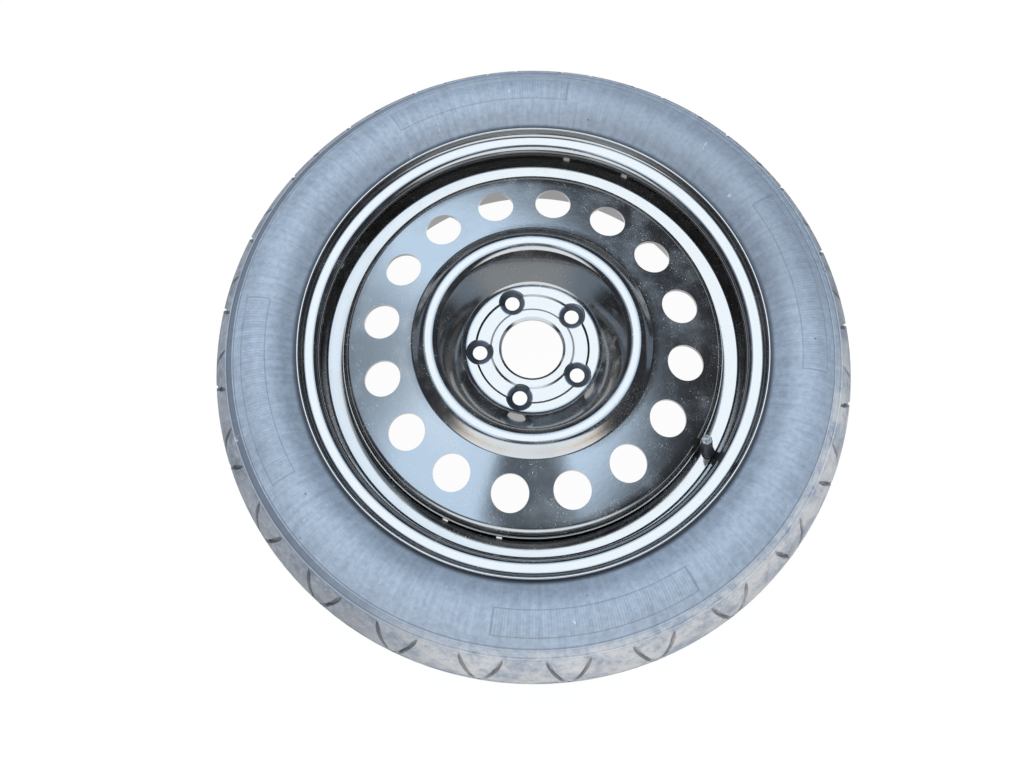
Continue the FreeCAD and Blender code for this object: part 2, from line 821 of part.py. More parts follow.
VALVE_PIECES = {
    "valve_body": make_valve_body,
    "valve_stem": make_valve_stem,
    "core_plug": make_core_plug,
    "core_barrel": make_core_barrel,
    "core_barrel_seal": make_core_barrel_seal,
    "core_pin": make_core_pin,
    "core_cup": make_core_cup,
    "core_cup_seal": make_core_cup_seal,
    "valve_cap": make_valve_cap,
    "valve_cap_seal": make_valve_cap_seal,
}


def make_valve(pieces):
    """Add every piece of the valve, set upright on the shelf."""
    on_shelf = valve_placement()
    for label, make in VALVE_PIECES.items():
        pieces[label] = make()
        pieces[label].Placement = on_shelf
    spring, lift = make_core_spring()
    spring.Placement = on_shelf * lift
    pieces["core_spring"] = spring


def check(pieces):
    """Stop if any object failed or any piece has no sound solid."""
    failed = [o.Name for o in doc.Objects if "Invalid" in o.State or "Error" in o.State]
    if failed:
        raise RuntimeError(f"failed objects: {failed}")
    for label, piece in pieces.items():
        shape = piece.Shape
        if shape.isNull() or not shape.isValid() or not shape.Solids:
            raise RuntimeError(f"{label} has no sound solid")


def main():
    """Build every piece and write each to its own file."""
    fill_sheet()
    pieces = {"rim": make_rim(), "disc": make_disc(), "weld_beads": make_weld_beads(), "tyre": make_tyre()}
    make_valve(pieces)
    doc.recompute()
    check(pieces)
    os.makedirs("parts", exist_ok=True)
    for label, piece in pieces.items():
        piece.Label = label
        piece.Shape.exportStep(f"parts/{label}.step")
        print(label, len(piece.Shape.Solids), round(piece.Shape.Volume, 2), piece.Shape.BoundBox)


main()
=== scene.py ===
"""Looks of a temporary spare wheel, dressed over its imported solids.

Sizes are in millimetres in the classes below and in metres in every mesh and finish. The wheel lies flat:
+Z is its axis and points to the street side, and z = 0 is the rim's middle plane.
"""

import logging
import math
from dataclasses import dataclass, field
from enum import Enum
from functools import reduce
from typing import Any, Sequence, Union

import bmesh
import bpy
import numpy as np
from mathutils import Matrix, Vector


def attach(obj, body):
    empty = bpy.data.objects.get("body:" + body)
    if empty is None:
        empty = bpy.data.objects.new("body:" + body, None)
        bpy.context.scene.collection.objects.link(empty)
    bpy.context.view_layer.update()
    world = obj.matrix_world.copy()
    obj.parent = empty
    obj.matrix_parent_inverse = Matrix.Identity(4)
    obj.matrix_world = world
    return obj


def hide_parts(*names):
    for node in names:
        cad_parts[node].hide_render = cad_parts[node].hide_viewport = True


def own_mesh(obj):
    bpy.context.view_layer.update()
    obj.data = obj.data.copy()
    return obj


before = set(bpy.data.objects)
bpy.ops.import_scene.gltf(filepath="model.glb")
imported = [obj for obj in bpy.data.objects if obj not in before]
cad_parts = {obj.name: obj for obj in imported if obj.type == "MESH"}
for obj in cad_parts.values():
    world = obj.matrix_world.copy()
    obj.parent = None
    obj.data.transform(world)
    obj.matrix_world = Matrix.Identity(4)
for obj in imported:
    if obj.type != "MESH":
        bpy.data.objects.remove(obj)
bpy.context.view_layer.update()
MM = 0.001
CREASE = 35.0
SAME_PLACE = 1e-7
SLIVER = 1e-8
log = logging.getLogger("spare_wheel")

Point = tuple[float, float]
Corner = tuple[float, float, float]
Colour = tuple[float, float, float]
Span = tuple[float, float, float]
Number = Union[float, "Value"]


class Body(Enum):
    """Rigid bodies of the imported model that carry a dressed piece."""

    WHEEL = "wheel"
    CAP = "cap"


class Slot(Enum):
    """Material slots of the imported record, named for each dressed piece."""

    TYRE = "tyre"
    PAINT = "black_paint"
    RUBBER = "valve_rubber"
    PLASTIC = "cap_plastic"
    SPRING = "spring_steel"


# Sections


def unit(a: Point, b: Point) -> Point:
    """Return the direction from one point to another."""
    length = math.hypot(b[0] - a[0], b[1] - a[1])
    return ((b[0] - a[0]) / length, (b[1] - a[1]) / length)


def rounded_path(corners: Sequence[Corner], step: float) -> list[Point]:
    """Return points along straight runs whose corners are rounded.

    Args:
        corners: radius, height and bend of each corner; a bend of 0 stays sharp.
        step: degrees between points on a bend.

    Returns:
        The points, first and last corners included.
    """
    points: list[Point] = [corners[0][:2]]
    for before, corner, after in zip(corners, corners[1:], corners[2:]):
        if corner[2] == 0:
            points.append(corner[:2])
            continue
        back = unit(corner[:2], before[:2])
        ahead = unit(corner[:2], after[:2])
        half = math.acos(max(-1.0, min(1.0, back[0] * ahead[0] + back[1] * ahead[1]))) / 2
        middle = unit((0, 0), (back[0] + ahead[0], back[1] + ahead[1]))
        reach = corner[2] / math.sin(half)
        centre = (corner[0] + middle[0] * reach, corner[1] + middle[1] * reach)
        run = corner[2] / math.tan(half)
        start = (corner[0] + back[0] * run, corner[1] + back[1] * run)
        end = (corner[0] + ahead[0] * run, corner[1] + ahead[1] * run)
        first = math.atan2(start[1] - centre[1], start[0] - centre[0])
        last = math.atan2(end[1] - centre[1], end[0] - centre[0])
        turn = (last - first + math.pi) % (2 * math.pi) - math.pi
        count = max(2, round(abs(math.degrees(turn)) / step))
        for i in range(count + 1):
            angle = first + turn * i / count
            r = centre[0] + corner[2] * math.cos(angle)
            z = centre[1] + corner[2] * math.sin(angle)
            points.append((r, z))
    points.append(corners[-1][:2])
    return points


def beside(points: Sequence[Point], distance: float) -> list[Point]:
    """Return a line at a distance to the right of a line of points."""
    moved = []
    for i, (r, z) in enumerate(points):
        normals = []
        for a, b in ((i - 1, i), (i, i + 1)):
            if a >= 0 and b < len(points):
                along = unit(points[a], points[b])
                normals.append((along[1], -along[0]))
        across = unit((0, 0), (sum(n[0] for n in normals), sum(n[1] for n in normals)))
        stretch = distance / (across[0] * normals[0][0] + across[1] * normals[0][1])
        moved.append((r + across[0] * stretch, z + across[1] * stretch))
    return moved


def spaced(points: Sequence[Point], step: float) -> list[Point]:
    """Return the line with points added so that none are further apart than a step."""
    out = [points[0]]
    for a, b in zip(points, points[1:]):
        count = max(1, math.ceil(math.hypot(b[0] - a[0], b[1] - a[1]) / step))
        for i in range(1, count + 1):
            share = i / count
            out.append((a[0] + (b[0] - a[0]) * share, a[1] + (b[1] - a[1]) * share))
    return out


def spaced_loop(points: Sequence[Point], step: float) -> list[Point]:
    """Return a closed outline with points added as in spaced."""
    return spaced([*points, points[0]], step)[:-1]


def round_edge(end: Point, start: Point, along: Point, step: int = 30) -> list[Point]:
    """Return the points of a sheet's half-round edge, without its two ends.

    Args:
        end: where the first side of the sheet ends.
        start: where its other side starts.
        along: direction in which the edge bulges.
        step: degrees between points.

    Returns:
        The points from the first side to the other.
    """
    centre = ((end[0] + start[0]) / 2, (end[1] + start[1]) / 2)
    half = (end[0] - centre[0], end[1] - centre[1])
    bulge = math.hypot(*half)
    points = []
    for degrees in range(step, 180, step):
        across = math.cos(math.radians(degrees))
        out = bulge * math.sin(math.radians(degrees))
        r = centre[0] + half[0] * across + along[0] * out
        z = centre[1] + half[1] * across + along[1] * out
        points.append((r, z))
    return points


def sheet_outline(path: Sequence[Point], thickness: float) -> list[Point]:
    """Return the closed outline of a bent, round-edged sheet that lies to the right of a line."""
    other = beside(path, thickness)
    far_edge = round_edge(path[-1], other[-1], unit(path[-2], path[-1]))
    near_edge = round_edge(other[0], path[0], unit(path[1], path[0]))
    return [*path, *far_edge, *reversed(other), *near_edge]


# Meshes


def new_object(
    name: str, vertices: np.ndarray, faces: Sequence[Sequence[int]], crease: float = CREASE
) -> bpy.types.Object:
    """Return a smooth-shaded object with its faces turned outwards.

    Args:
        name: the piece's name.
        vertices: places in metres, one row each.
        faces: vertex numbers of each face.
        crease: degrees from which an edge stays sharp.

    Returns:
        The linked object, at the origin.
    """
    mesh = bpy.data.meshes.new(name)
    mesh.from_pydata(vertices.tolist(), [], faces)
    work = bmesh.new()
    work.from_mesh(mesh)
    bmesh.ops.remove_doubles(work, verts=work.verts, dist=SAME_PLACE)
    bmesh.ops.dissolve_degenerate(work, edges=work.edges, dist=SLIVER)
    bmesh.ops.recalc_face_normals(work, faces=work.faces)
    work.to_mesh(mesh)
    work.free()
    smooth(mesh, crease)
    piece = bpy.data.objects.new(name, mesh)
    bpy.context.scene.collection.objects.link(piece)
    return piece


def smooth(mesh: bpy.types.Mesh, crease: float) -> None:
    """Shade a mesh smooth, with edges past an angle in degrees left sharp."""
    mesh.polygons.foreach_set("use_smooth", [True] * len(mesh.polygons))
    mesh.set_sharp_from_angle(angle=math.radians(crease))


def grid_faces(rows: int, columns: int) -> list[tuple[int, int, int, int]]:
    """Return the quads of a grid that closes on itself both ways."""
    faces = []
    for i in range(rows):
        here = i * columns
        below = (i + 1) % rows * columns
        for j in range(columns):
            across = (j + 1) % columns
            faces.append((here + j, here + across, below + across, below + j))
    return faces


def stack_faces(levels: int, sides: int) -> list[Sequence[int]]:
    """Return the faces of a stack of equal loops that is closed at both ends."""
    last = (levels - 1) * sides
    faces: list[Sequence[int]] = [tuple(range(sides)), tuple(range(last, last + sides))]
    for low in range(0, last, sides):
        high = low + sides
        for j in range(sides):
            across = (j + 1) % sides
            faces.append((low + j, low + across, high + across, high + j))
    return faces


def lathe(name: str, outline: Sequence[Point], columns: int) -> bpy.types.Object:
    """Return a closed outline of radius and height turned about the Z axis."""
    section = np.array(outline) * MM
    angles = np.arange(columns) * 2 * math.pi / columns
    radius = section[:, :1]
    heights = np.repeat(section[:, 1:], columns, axis=1)
    places = np.stack([radius * np.cos(angles), radius * np.sin(angles), heights], axis=-1)
    return new_object(name, places.reshape(-1, 3), grid_faces(len(outline), columns))


def rod(name: str, radius: float, low: float, high: float, sides: int) -> bpy.types.Object:
    """Return a round rod on the Z axis between two heights."""
    return lathe(name, [(0.0, low), (radius, low), (radius, high), (0.0, high)], sides)


def bake(piece: bpy.types.Object) -> None:
    """Turn a piece with modifiers into a plain mesh."""
    bpy.context.view_layer.update()
    evaluated = piece.evaluated_get(bpy.context.evaluated_depsgraph_get())
    mesh = bpy.data.meshes.new_from_object(evaluated)
    piece.modifiers.clear()
    old = piece.data
    piece.data = mesh
    bpy.data.meshes.remove(old)
    smooth(mesh, CREASE)


def subtract(piece: bpy.types.Object, cutter: bpy.types.Object) -> None:
    """Cut one closed mesh out of another and drop the cutter."""
    cut = piece.modifiers.new("cut", "BOOLEAN")
    cut.operation = "DIFFERENCE"
    cut.solver = "EXACT"
    cut.object = cutter
    bake(piece)
    bpy.data.objects.remove(cutter)


def dress(
    piece: bpy.types.Object, material: bpy.types.Material, body: Body, slot: Slot, *nodes: str
) -> None:
    """Give a finished piece its material and body, and hide the solids that it stands for."""
    piece.data.materials.clear()
    piece.data.materials.append(material)
    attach(piece, body.value)
    if nodes:
        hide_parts(*nodes)
    log.info("%s: %d faces", piece.name, len(piece.data.polygons))


@dataclass
class Ring:
    """Copies of one shape set round the Z axis by Geometry Nodes.

    Attributes:
        count: how many copies.
        radius: of the circle they stand on, in millimetres.
        first: angle of the first copy, in degrees.
        lift: height of the circle, in millimetres.
    """

    count: int
    radius: float
    first: float = 0.0
    lift: float = 0.0

    def tree(self) -> bpy.types.GeometryNodeTree:
        """Return the node tree, with its sizes as inputs."""
        tree = bpy.data.node_groups.new("ring_of_copies", "GeometryNodeTree")
        sockets = tree.interface.new_socket
        for name, kind in (
            ("Geometry", "NodeSocketGeometry"),
            ("Shape", "NodeSocketObject"),
            ("Count", "NodeSocketInt"),
            ("Radius", "NodeSocketFloat"),
            ("First", "NodeSocketFloat"),
            ("Lift", "NodeSocketFloat"),
            ("Material", "NodeSocketMaterial"),
        ):
            sockets(name, in_out="INPUT", socket_type=kind)
        sockets("Geometry", in_out="OUTPUT", socket_type="NodeSocketGeometry")
        nodes = tree.nodes
        link = tree.links.new
        given = nodes.new("NodeGroupInput")
        points = nodes.new("GeometryNodePoints")
        index = nodes.new("GeometryNodeInputIndex")
        step = nodes.new("ShaderNodeMath")
        step.operation = "DIVIDE"
        step.inputs[0].default_value = 2 * math.pi
        angle = nodes.new("ShaderNodeMath")
        angle.operation = "MULTIPLY_ADD"
        turn = nodes.new("ShaderNodeCombineXYZ")
        arm = nodes.new("ShaderNodeCombineXYZ")
        rotate = nodes.new("ShaderNodeVectorRotate")
        rotate.rotation_type = "Z_AXIS"
        shape = nodes.new("GeometryNodeObjectInfo")
        copies = nodes.new("GeometryNodeInstanceOnPoints")
        real = nodes.new("GeometryNodeRealizeInstances")
        finish = nodes.new("GeometryNodeSetMaterial")
        result = nodes.new("NodeGroupOutput")
        link(given.outputs["Count"], points.inputs["Count"])
        link(given.outputs["Count"], step.inputs[1])
        link(index.outputs[0], angle.inputs[0])
        link(step.outputs[0], angle.inputs[1])
        link(given.outputs["First"], angle.inputs[2])
        link(angle.outputs[0], turn.inputs["Z"])
        link(given.outputs["Radius"], arm.inputs["X"])
        link(given.outputs["Lift"], arm.inputs["Z"])
        link(arm.outputs[0], rotate.inputs["Vector"])
        link(angle.outputs[0], rotate.inputs["Angle"])
        link(rotate.outputs[0], points.inputs["Position"])
        link(points.outputs[0], copies.inputs["Points"])
        link(given.outputs["Shape"], shape.inputs["Object"])
        link(shape.outputs["Geometry"], copies.inputs["Instance"])
        link(turn.outputs[0], copies.inputs["Rotation"])
        link(copies.outputs[0], real.inputs[0])
        link(real.outputs[0], finish.inputs["Geometry"])
        link(given.outputs["Material"], finish.inputs["Material"])
        link(finish.outputs[0], result.inputs[0])
        return tree

    def make(
        self, name: str, shape: bpy.types.Object, material: bpy.types.Material | None = None
    ) -> bpy.types.Object:
        """Return the copies as one plain mesh, and drop the shape they were made from.

        Args:
            name: the new piece's name.
            shape: the object to copy, its +X side facing outwards.
            material: the finish of the copies, or none for cutting tools.

        Returns:
            The new piece.
        """
        piece = bpy.data.objects.new(name, bpy.data.meshes.new(name))
        bpy.context.scene.collection.objects.link(piece)
        copies = piece.modifiers.new("copies", "NODES")
        copies.node_group = self.tree()
        values = {
            "Shape": shape,
            "Count": self.count,
            "Radius": self.radius * MM,
            "First": math.radians(self.first),
            "Lift": self.lift * MM,
            "Material": material,
        }
        for item in copies.node_group.interface.items_tree:
            if item.in_out == "INPUT" and item.name in values:
                copies[item.identifier] = values[item.name]
        bake(piece)
        bpy.data.objects.remove(shape)
        return piece


# Shaders


class Value:
    """A shader socket on which sums are written as plain expressions."""

    def __init__(self, shader: "Shader", socket: bpy.types.NodeSocket) -> None:
        """Wrap an output socket of a shader."""
        self.shader = shader
        self.socket = socket

    def _math(self, operation: str, *others: Number) -> "Value":
        """Return a Math node's result on this value and others."""
        return self.shader.node("Math", {"operation": operation}, dict(enumerate((self, *others))))

    def __add__(self, other: Number) -> "Value":
        """Return the sum."""
        return self._math("ADD", other)

    def __radd__(self, other: Number) -> "Value":
        """Return the sum."""
        return self._math("ADD", other)

    def __sub__(self, other: Number) -> "Value":
        """Return the difference."""
        return self._math("SUBTRACT", other)

    def __rsub__(self, other: Number) -> "Value":
        """Return the difference, the other way round."""
        return self.shader.node("Math", {"operation": "SUBTRACT"}, {0: other, 1: self})

    def __mul__(self, other: Number) -> "Value":
        """Return the product."""
        return self._math("MULTIPLY", other)

    def __rmul__(self, other: Number) -> "Value":
        """Return the product."""
        return self._math("MULTIPLY", other)

    def most(self, other: Number) -> "Value":
        """Return the larger of two values."""
        return self._math("MAXIMUM", other)

    def wave(self) -> "Value":
        """Return the sine."""
        return self._math("SINE")

    def root(self) -> "Value":
        """Return the square root."""
        return self._math("SQRT")

    def bearing(self, x: "Value") -> "Value":
        """Return the angle of the point that has this value as its y."""
        return self._math("ARCTAN2", x)

    def step(self, low: float, high: float) -> "Value":
        """Return a smooth rise from 0 at low to 1 at high."""
        settings = {"interpolation_type": "SMOOTHSTEP"}
        return self.shader.node("MapRange", settings, {"Value": self, "From Min": low, "From Max": high})

    def band(self, low: float, high: float, soft: float) -> "Value":
        """Return 1 between two values, falling softly to 0 outside."""
        return self.step(low - soft, low) * (1 - self.step(high, high + soft))


class Shader:
    """The nodes of one material or world, and the means to write them."""

    def __init__(self, owner: bpy.types.Material | bpy.types.World) -> None:
        """Start with an empty node tree."""
        owner.use_nodes = True
        self.owner = owner
        self.tree = owner.node_tree
        self.tree.nodes.clear()

    @classmethod
    def named(cls, name: str) -> "Shader":
        """Start a new material."""
        return cls(bpy.data.materials.new(name))

    def node(self, kind: str, settings: dict[str, Any], inputs: dict[Any, Any], output: Any = 0) -> Value:
        """Add a node and return one of its outputs.

        Args:
            kind: the node's type without its prefix.
            settings: the node's properties, which are set first.
            inputs: values or links by socket name or number.
            output: name or number of the output.

        Returns:
            The wrapped output socket.
        """
        made = self.tree.nodes.new(f"ShaderNode{kind}")
        for name, setting in settings.items():
            setattr(made, name, setting)
        for key, given in inputs.items():
            if isinstance(given, Value):
                self.tree.links.new(given.socket, made.inputs[key])
            else:
                made.inputs[key].default_value = given
        return Value(self, made.outputs[output])

    def place(self) -> Value:
        """Return the place on the object, in its own frame."""
        return self.node("TexCoord", {}, {}, "Object")

    def axes(self, vector: Value) -> list[Value]:
        """Return the three numbers of a vector."""
        return [self.node("SeparateXYZ", {}, {0: vector}, axis) for axis in "XYZ"]

    def vector(self, x: Number, y: Number, z: Number) -> Value:
        """Return a vector of three numbers."""
        return self.node("CombineXYZ", {}, {0: x, 1: y, 2: z})

    def polar(self) -> tuple[Value, Value, Value]:
        """Return radius, angle and height round the wheel's axis."""
        x, y, z = self.axes(self.place())
        return (x * x + y * y).root(), y.bearing(x), z

    def stretched(self, turn: float, out: float, rise: float) -> Value:
        """Return a place made of angle, radius and height, each drawn out by a factor."""
        radius, angle, height = self.polar()
        return self.vector(angle * turn, radius * out, height * rise)

    def upward(self, low: float, high: float) -> Value:
        """Return how far a face looks up: 0 and 1 at two heights of its normal."""
        normal = self.node("NewGeometry", {}, {}, "Normal")
        return self.axes(normal)[2].step(low, high)

    def rays(self, *kinds: str) -> Value:
        """Return 1 for rays of the named kinds and 0 for others."""
        return reduce(Value.most, [self.node("LightPath", {}, {}, f"Is {kind} Ray") for kind in kinds])

    def noise(self, at: Value, scale: float, detail: float, rough: float) -> Value:
        """Return smooth noise from 0 to 1."""
        inputs = {"Vector": at, "Scale": scale, "Detail": detail, "Roughness": rough}
        return self.node("TexNoise", {}, inputs)

    def specks(self, scale: float, size: float) -> Value:
        """Return small separate grains: 1 in a grain, 0 between."""
        distance = self.node("TexVoronoi", {"feature": "F1"}, {"Vector": self.place(), "Scale": scale})
        return 1 - distance.step(0.5 * size, size)

    def mix(self, share: Number, low: Any, high: Any) -> Value:
        """Return a colour between two colours, each a link or three numbers."""
        first, second = (c if isinstance(c, Value) else (*c, 1) for c in (low, high))
        return self.node("Mix", {"data_type": "RGBA"}, {0: share, 6: first, 7: second}, 2)

    def bump(self, height: Value, depth: float, strength: float) -> Value:
        """Return a normal bent by a height from 0 to 1 that stands for a depth in metres."""
        return self.node("Bump", {}, {"Height": height, "Distance": depth, "Strength": strength})

    def principled(self, **sockets: Any) -> bpy.types.Material:
        """Finish the material with one Principled shader and return it."""
        inputs = {name.replace("_", " "): given for name, given in sockets.items()}
        return self.end(self.node("BsdfPrincipled", {}, inputs))

    def end(self, surface: Value) -> bpy.types.Material | bpy.types.World:
        """Join a surface to the output and return the material or world."""
        kind = "World" if isinstance(self.owner, bpy.types.World) else "Material"
        out = self.tree.nodes.new(f"ShaderNodeOutput{kind}")
        self.tree.links.new(surface.socket, out.inputs["Surface"])
        return self.owner


# Finishes


@dataclass(frozen=True)
class Cloud:
    """Noise over a finish, plain or cut into soft patches.

    Attributes:
        scale: waves to a metre, or to a unit of the stretched place.
        detail: layers of finer noise.
        rough: strength of those layers.
        edge: noise at which a patch begins and at which it is full.
        strength: share that a full patch gives.
        stretch: factors of angle, radius and height, where the noise is drawn out round the wheel.
    """

    scale: float
    detail: float = 2.0
    rough: float = 0.5
    edge: Point = (0.0, 1.0)
    strength: float = 1.0
    stretch: Span | None = None

    def plain(self, s: Shader) -> Value:
        """Return the noise itself."""
        at = s.stretched(*self.stretch) if self.stretch else s.place()
        return s.noise(at, self.scale, self.detail, self.rough)

    def share(self, s: Shader) -> Value:
        """Return the patches: the strength inside, 0 between."""
        return self.plain(s).step(*self.edge) * self.strength


@dataclass(frozen=True)
class GlossPaint:
    """Gloss black paint under dust, with scratches, a little orange peel and worn lug seats.

    Attributes:
        name: the material's name.
        colour, dust, bare: colours of the paint, of the dust and of metal rubbed bare.
        gloss: roughness of clean paint.
        grime: how much dust lies on the paint.
        dulling: roughness that patches, marks and bare seats add.
        index, coat_index, coat_gloss: refraction of paint and clear coat, and the coat's roughness.
        coat_loss: share of the coat that a full mark hides.
        lying, upright: normals' heights between which dust comes to lie, and its share on upright faces.
        seat_edge: radii between which a worn lug seat fades out.
        patches, film: patches of thin dust, and its share there.
        grains, powder: grains to a metre and their size, coarse and fine.
        grain_drifts, powder_drifts: where those grains lie.
        streaks: fine rub lines round the wheel.
        scuffs, scuff_grain: patches of scuffs, and the grain in them.
        scraped, scraped_turn, scrapes: radii and angles of the scraped slope, and the scrapes on it.
        wiped, wiped_turn, smears: radii and angles of the smeared bowl, and the smears on it.
        peel, peel_depth, peel_strength: the paint's faint waviness.
    """

    name: str = "gloss_black_paint"
    colour: Colour = (0.011, 0.0095, 0.0085)
    dust: Colour = (0.36, 0.35, 0.34)
    bare: Colour = (0.05, 0.055, 0.065)
    gloss: float = 0.10
    grime: float = 1.0
    dulling: Span = (0.08, 0.5, 0.25)
    index: float = 2.25
    coat_index: float = 1.8
    coat_gloss: float = 0.05
    coat_loss: float = 0.7
    lying: Point = (0.1, 0.95)
    upright: float = 0.08
    seat_edge: Point = (0.0122, 0.0138)
    patches: Cloud = Cloud(22, 4, 0.6, (0.42, 0.72))
    film: float = 0.10
    grains: Point = (330, 0.2)
    grain_drifts: Cloud = Cloud(45, 3, 0.5, (0.44, 0.62), 0.75)
    powder: Point = (760, 0.24)
    powder_drifts: Cloud = Cloud(90, 3, 0.5, (0.4, 0.66), 0.5)
    streaks: Cloud = Cloud(3.0, 3, 0.5, (0.60, 0.78), 0.12, (2.0, 900.0, 0.0))
    scuffs: Cloud = Cloud(30, 5, 0.7, (0.62, 0.74), 0.35)
    scuff_grain: Cloud = Cloud(400, 2, 0.5, (0.5, 0.62))
    scraped: Span = (0.104, 0.128, 0.004)
    scraped_turn: Span = (-1.05, -0.41, 0.1)
    scrapes: Cloud = Cloud(9.0, 3, 0.6, (0.56, 0.66), 0.4, (30.0, 40.0, 0.0))
    wiped: Span = (0.066, 0.088, 0.006)
    wiped_turn: Span = (-0.60, 0.30, 0.2)
    smears: Cloud = Cloud(60, 5, 0.7, (0.48, 0.68), 0.3)
    peel: Cloud = Cloud(210)
    peel_depth: float = 0.00006
    peel_strength: float = 0.5

    def seats(self, s: Shader) -> Value:
        """Return 1 on the worn seats of the lug holes and 0 elsewhere."""
        x, y, _ = s.axes(s.place())
        lugs = Disc().lugs
        inner, outer = self.seat_edge
        worn = []
        for index in range(lugs.count):
            turn = math.radians(lugs.first + 360.0 * index / lugs.count)
            dx = x - lugs.radius * MM * math.cos(turn)
            dy = y - lugs.radius * MM * math.sin(turn)
            worn.append(1 - (dx * dx + dy * dy).step(inner**2, outer**2))
        return reduce(Value.most, worn)

    def marks(self, s: Shader, patches: Value) -> Value:
        """Return the share of dust, scuffs, scrapes and smears.

        Args:
            s: the shader being built.
            patches: where thin dust lies.

        Returns:
            One where the paint is covered, nought where it is clean.
        """
        radius, angle, _ = s.polar()
        up = s.upward(*self.lying)
        grains = s.specks(*self.grains) * self.grain_drifts.share(s)
        powder = s.specks(*self.powder) * self.powder_drifts.share(s)
        dust = (grains + powder) * (self.upright + up * (1 - self.upright)) * self.grime
        film = patches * up * (self.film * self.grime)
        scuffs = self.scuffs.share(s) * self.scuff_grain.share(s) * up
        scraped = radius.band(*self.scraped) * angle.band(*self.scraped_turn)
        wiped = radius.band(*self.wiped) * angle.band(*self.wiped_turn)
        layers = [dust, film, scuffs, self.streaks.share(s) * up]
        layers += [scraped * self.scrapes.share(s), wiped * self.smears.share(s)]
        return reduce(Value.most, layers)

    def build(self) -> bpy.types.Material:
        """Return the material."""
        s = Shader.named(self.name)
        patches = self.patches.share(s)
        marks = self.marks(s, patches)
        seats = self.seats(s)
        by_patch, by_mark, by_seat = self.dulling
        return s.principled(
            Base_Color=s.mix(seats, s.mix(marks, self.colour, self.dust), self.bare),
            Metallic=seats,
            Roughness=self.gloss + patches * by_patch + marks * by_mark + seats * by_seat,
            IOR=self.index,
            Coat_Weight=(1 - marks * self.coat_loss) * (1 - seats),
            Coat_Roughness=self.coat_gloss,
            Coat_IOR=self.coat_index,
            Normal=s.bump(self.peel.plain(s), self.peel_depth, self.peel_strength),
        )


